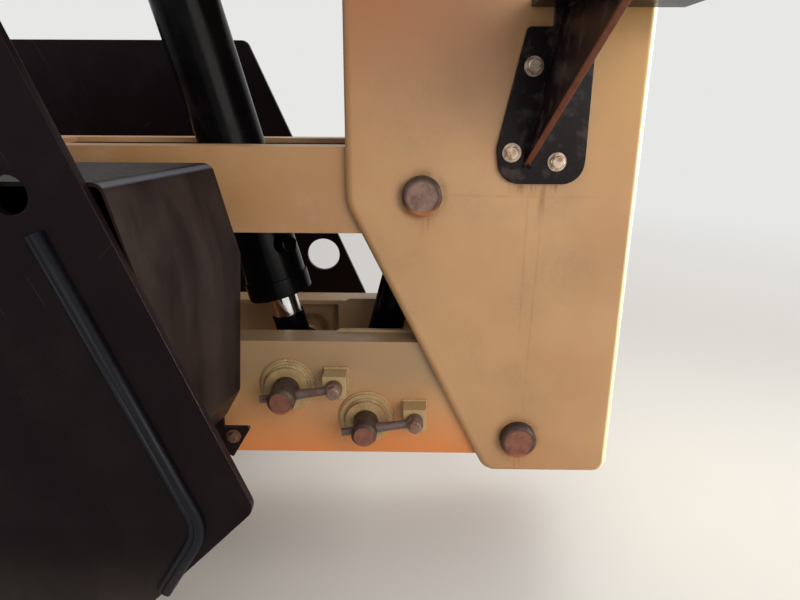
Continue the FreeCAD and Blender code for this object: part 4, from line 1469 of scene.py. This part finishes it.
@dataclass(frozen=True)
class Fasteners:
    """Hexagon heads of the bracket, the keepers, the guard's tab and the lift cylinder's port."""

    bracket_face: float = -0.158
    bracket_bolts: tuple[tuple[float, float], ...] = ((-0.013, 0.559), (-0.036, 0.447), (0.027, 0.435))
    bracket_head: HeadSize = HeadSize(0.0105, 0.008, 0.0130, 0.0026)
    keeper_eye: Vector = Vector((0.078, -0.180, 0.012))
    keeper_head: HeadSize = HeadSize(0.0112, 0.009, 0.0118, 0.0008)
    tab_bolt: Vector = Vector((0.512, -0.211, 0.262))
    tab_head: HeadSize = HeadSize(0.0080, 0.006, 0.0110, 0.0018)
    port_rise: float = 0.206
    port_reach: float = 0.067
    port_angle: float = math.radians(45.0)
    port_nut: HeadSize = HeadSize(0.0150, 0.006, 0.0120, 0.0010)

    def build(self, paints: Paints) -> None:
        """Set every head.

        Args:
            paints: The finished materials.
        """
        recipe = HexHeads()
        near = (math.pi / 2, 0.0, 0.0)
        on_bracket = [beside(LOWER_PIN, *spot, self.bracket_face) for spot in self.bracket_bolts]
        on_keepers = [foot + self.keeper_eye for foot in (LIFT_FOOT, SECOND_FOOT)]
        port, port_turn = self.port()
        sets = (("bracket_bolts", Body.UPRIGHT, on_bracket, Look.ZINC_BOLTS, near, self.bracket_head),
                ("keeper_bolts", Body.LOWER_LINK, on_keepers, Look.KEEPER_HEAD_STEEL, near, self.keeper_head),
                ("guard_bolt", Body.ROOT, [self.tab_bolt], Look.RUSTY_HEAD_STEEL, near, self.tab_head),
                ("port_nut", Body.LIFT_BARREL, [port], Look.CYLINDER_PAINT, port_turn, self.port_nut))
        for name, body, spots, look, facing, size in sets:
            values = {"Material": paints.made[look], "Facing": facing, **size.values()}
            piece = recipe.make(name, Guide(spots).mesh(name), values)
            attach(piece, body.value)
            LOG.info("%s: %d faces", name, len(piece.data.polygons))

    def port(self) -> tuple[Vector, Point]:
        """Find where the lift cylinder's port ends.

        Returns:
            The middle of its end, and the turn of a nut that faces outwards there.
        """
        axis = (LIFT_TOP - LIFT_FOOT).normalized()
        outward = Vector((axis.z, 0.0, -axis.x)) * math.cos(self.port_angle)
        outward += NEAR * math.sin(self.port_angle)
        place = LIFT_FOOT + axis * self.port_rise + outward * self.port_reach
        return place, tuple(outward.to_track_quat("Z", "Y").to_euler())


@dataclass(frozen=True)
class PlateRim:
    """The rubber rim on the near side plate.

    Its corners are given from the lower pin, and its profile in half widths and in heights.
    """

    corners: tuple[tuple[float, float], ...] = ((-0.5545, 0.385), (-0.416, 0.033), (-0.470, -0.054))
    plate_face: float = -0.430
    half_width: float = 0.009
    stand: float = 0.008
    roundness: float = 0.026
    steps: int = 6
    profile: tuple[tuple[float, float], ...] = (
        (-1.0, -0.25), (-1.0, 0.6), (-0.75, 0.9), (-0.4, 1.0), (0.1, 1.0), (0.2, 0.75), (0.3, 0.75),
        (0.4, 1.0), (0.75, 0.9), (1.0, 0.6), (1.0, -0.25))

    def build(self, paints: Paints) -> None:
        """Sweep the rim along its path.

        Args:
            paints: The finished materials.
        """
        work = bmesh.new()
        rings = [[work.verts.new(corner) for corner in section] for section in self.sections()]
        for first, second in zip(rings, rings[1:]):
            for index in range(len(first)):
                other = (index + 1) % len(first)
                work.faces.new((first[index], first[other], second[other], second[index]))
        work.faces.new(rings[0][::-1])
        work.faces.new(rings[-1])
        bmesh.ops.recalc_face_normals(work, faces=work.faces)
        for face in work.faces:
            face.smooth = len(face.verts) == 4
        mesh = bpy.data.meshes.new("hood_rim")
        work.to_mesh(mesh)
        work.free()
        mesh.materials.append(paints.made[Look.RIM_RUBBER])
        piece = Shaped.linked("hood_rim", mesh)
        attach(piece, Body.ROOT.value)
        LOG.info("%s: %d faces", piece.name, len(mesh.polygons))

    def sections(self) -> list[list[Vector]]:
        """Stand the profile across the path at each of its points.

        Returns:
            The corners of each section.
        """
        path = [beside(LOWER_PIN, *point, self.plate_face) for point in self.eased()]
        sections = []
        for index, spot in enumerate(path):
            before, after = path[max(index - 1, 0)], path[min(index + 1, len(path) - 1)]
            half = (after - before).normalized().cross(NEAR) * self.half_width
            lift = NEAR * self.stand
            sections.append([spot + half * aside + lift * rise for aside, rise in self.profile])
        return sections

    def eased(self) -> list[tuple[float, float]]:
        """Round the path's inner corners with short curves.

        Returns:
            The path's points as distances from the lower pin.
        """
        points = [Vector(corner) for corner in self.corners]
        result = [points[0]]
        for before, corner, after in zip(points, points[1:], points[2:]):
            away = (before - corner, after - corner)
            start, end = (corner + leg.normalized() * min(self.roundness, leg.length / 2) for leg in away)
            for step in range(self.steps + 1):
                share = step / self.steps
                result.append(start.lerp(corner, share).lerp(corner.lerp(end, share), share))
        return [tuple(point) for point in result + [points[-1]]]


@dataclass(frozen=True)
class LinkWelds:
    """Lines to weld along on the two links."""

    hub: float = 0.046
    collar: float = 0.0425
    collar_height: float = 0.006
    bosses: tuple[float, float] = (0.035, 0.033)
    keeper_boss_half: float = 0.018
    keeper_boss_middle: tuple[float, float] = (0.078, 0.012)

    def lower(self) -> Guide:
        """Follow the collars, bosses, hubs and keeper bosses of the lower link.

        Returns:
            The lines.
        """
        guide = Guide()
        for side in BOTH_SIDES:
            face = side * LINK_FACE
            for foot, boss in zip((LIFT_FOOT, SECOND_FOOT), self.bosses):
                guide.ring(foot, self.collar, face)
                guide.ring(foot, boss, side * (LINK_FACE + self.collar_height))
            for hub in (FRAME_PIN, LOWER_PIN):
                guide.ring(hub, self.hub, face)
        (behind, above), half = self.keeper_boss_middle, self.keeper_boss_half
        for foot in (LIFT_FOOT, SECOND_FOOT):
            guide.line(*[beside(foot, behind + across * half, above + up * half, -LINK_FACE)
                         for across, up in ((-1, -1), (1, -1), (1, 1), (-1, 1))], closed=True)
        return guide

    def upper(self) -> Guide:
        """Follow the hubs by which the upper link turns on the frame.

        Returns:
            The lines.
        """
        guide = Guide()
        for side in BOTH_SIDES:
            guide.ring(UPPER_FRAME_PIN, self.hub, side * LINK_FACE)
        return guide


@dataclass(frozen=True)
class UprightWelds:
    """Lines to weld along on the upright and its bracket."""

    wall: float = 0.010
    head: Vector = LOWER_PIN + Vector((0.015, 0.0, 1.0))
    head_boss: float = 0.058
    brace: Vector = LOWER_PIN + Vector((0.070, 0.0, 0.790))
    brace_radius: float = 0.030
    lift_boss: float = 0.035
    second_boss: float = 0.033
    gusset_foot: Vector = LOWER_PIN + Vector((-0.014, -0.158, 0.428))
    gusset_half: float = 0.004
    gusset_rise: float = 0.205
    gusset_top: Vector = Vector((0.0, -0.128, 0.0))

    def walls(self) -> Guide:
        """Follow the head's bosses outside, and the cylinder bosses and the brace inside the upright.

        Returns:
            The lines.
        """
        guide = Guide()
        for side in BOTH_SIDES:
            guide.ring(self.head, self.head_boss, side * UPRIGHT_FACE)
            for middle, radius in ((LIFT_TOP, self.lift_boss), (SECOND_TOP, self.second_boss),
                                   (self.brace, self.brace_radius)):
                guide.ring(middle, radius, side * (UPRIGHT_FACE - self.wall))
        return guide

    def bracket(self) -> Guide:
        """Follow the foot of the gusset on both sides, and its top under the shelf.

        Returns:
            The lines.
        """
        guide = Guide()
        for side in BOTH_SIDES:
            low = self.gusset_foot + GUSSET_ASIDE * (side * self.gusset_half)
            high = low + GUSSET_UP * self.gusset_rise
            guide.line(low, high)
            guide.line(high, high + self.gusset_top)
        return guide


@dataclass(frozen=True)
class FrameWelds:
    """Lines to weld along on the frame."""

    base_top: float = 0.025
    base_edge: float = 0.430
    base_ends: tuple[float, float] = (-1.40, 0.35)
    inside: float = 0.418
    inner_ends: tuple[float, float] = (-1.388, 0.31)
    wall_top: float = 0.545
    pivot_plate_faces: tuple[float, float] = (0.140, 0.160)
    pivot_plate_ends: tuple[float, float] = (-1.380, -0.840)
    ties: tuple[Vector, ...] = (FRAME_PIN + Vector((-0.159, 0.0, -0.110)),
                                FRAME_PIN + Vector((-0.159, 0.0, 0.250)))
    tie_radius: float = 0.030

    def lines(self) -> Guide:
        """Follow the plates, ties, rear beam and front wall of the frame.

        Returns:
            The lines.
        """
        guide = Guide()
        front, beam = self.inner_ends
        for side in BOTH_SIDES:
            self.lengthwise(guide, self.base_ends, side * self.base_edge)
            self.lengthwise(guide, self.inner_ends, side * self.inside)
            guide.line((front, side * self.inside, self.base_top), (front, side * self.inside, self.wall_top))
            for face in self.pivot_plate_faces:
                self.lengthwise(guide, self.pivot_plate_ends, side * face)
            for tie in self.ties:
                guide.ring(tie, self.tie_radius, side * self.pivot_plate_faces[1])
                guide.ring(tie, self.tie_radius, side * self.inside)
        for x in (front, beam, self.base_ends[1]):
            guide.line((x, -self.inside, self.base_top), (x, self.inside, self.base_top))
        return guide

    def lengthwise(self, guide: Guide, ends: tuple[float, float], y: float) -> None:
        """Add a line on the base plate from one end to the other, at a place across the machine."""
        guide.line(*[(x, y, self.base_top) for x in ends])


@dataclass(frozen=True)
class Welds:
    """Weld beads where plates, hubs, bosses and ties meet, of four kinds by bead radius and pitch."""

    close: tuple[float, float] = (0.0034, 0.0026)
    plain: tuple[float, float] = (0.0034, 0.0042)
    slender: tuple[float, float] = (0.0030, 0.0036)
    heavy: tuple[float, float] = (0.0042, 0.0058)

    def build(self, paints: Paints) -> None:
        """Lay every bead, each set with the finish of the sub-part that it names.

        Args:
            paints: The finished materials.
        """
        recipe = WeldBeads()
        links, upright = LinkWelds(), UprightWelds()
        sets = (("lower_link_welds", "lower_link", Body.LOWER_LINK, links.lower(), self.close),
                ("upper_link_welds", "upper_link", Body.UPPER_LINK, links.upper(), self.plain),
                ("upright_welds", "upper_link", Body.UPRIGHT, upright.walls(), self.plain),
                ("bracket_welds", "bracket", Body.UPRIGHT, upright.bracket(), self.slender),
                ("frame_welds", "base_plate", Body.ROOT, FrameWelds().lines(), self.heavy))
        for name, node, body, guide, (bead, pitch) in sets:
            slot = slot_of(node)
            values = {"Material": paints.of_node(node, slot), "Bead Radius": bead, "Pitch": pitch}
            piece = recipe.make(name, guide.mesh(name), values)
            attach(piece, body.value)
            LOG.info("%s: %d faces", name, len(piece.data.polygons))


def main() -> None:
    """Build the camera, the studio, the finishes and every piece."""
    logging.basicConfig(level=logging.INFO, format="%(message)s")
    bpy.context.scene.view_settings.view_transform = "Standard"
    PhotoCamera().build()
    Studio().build()
    paints = Paints(Effects())
    for body, members in frame["record"]["behaviour"]["bodies"].items():
        for node in members:
            piece = EasedSteel(node, Body(body), slot_of(node)).build(paints)
            LOG.info("%s: %d faces", piece.name, len(piece.data.polygons))
    Fasteners().build(paints)
    PlateRim().build(paints)
    Welds().build(paints)


if __name__ == "__main__":
    main()
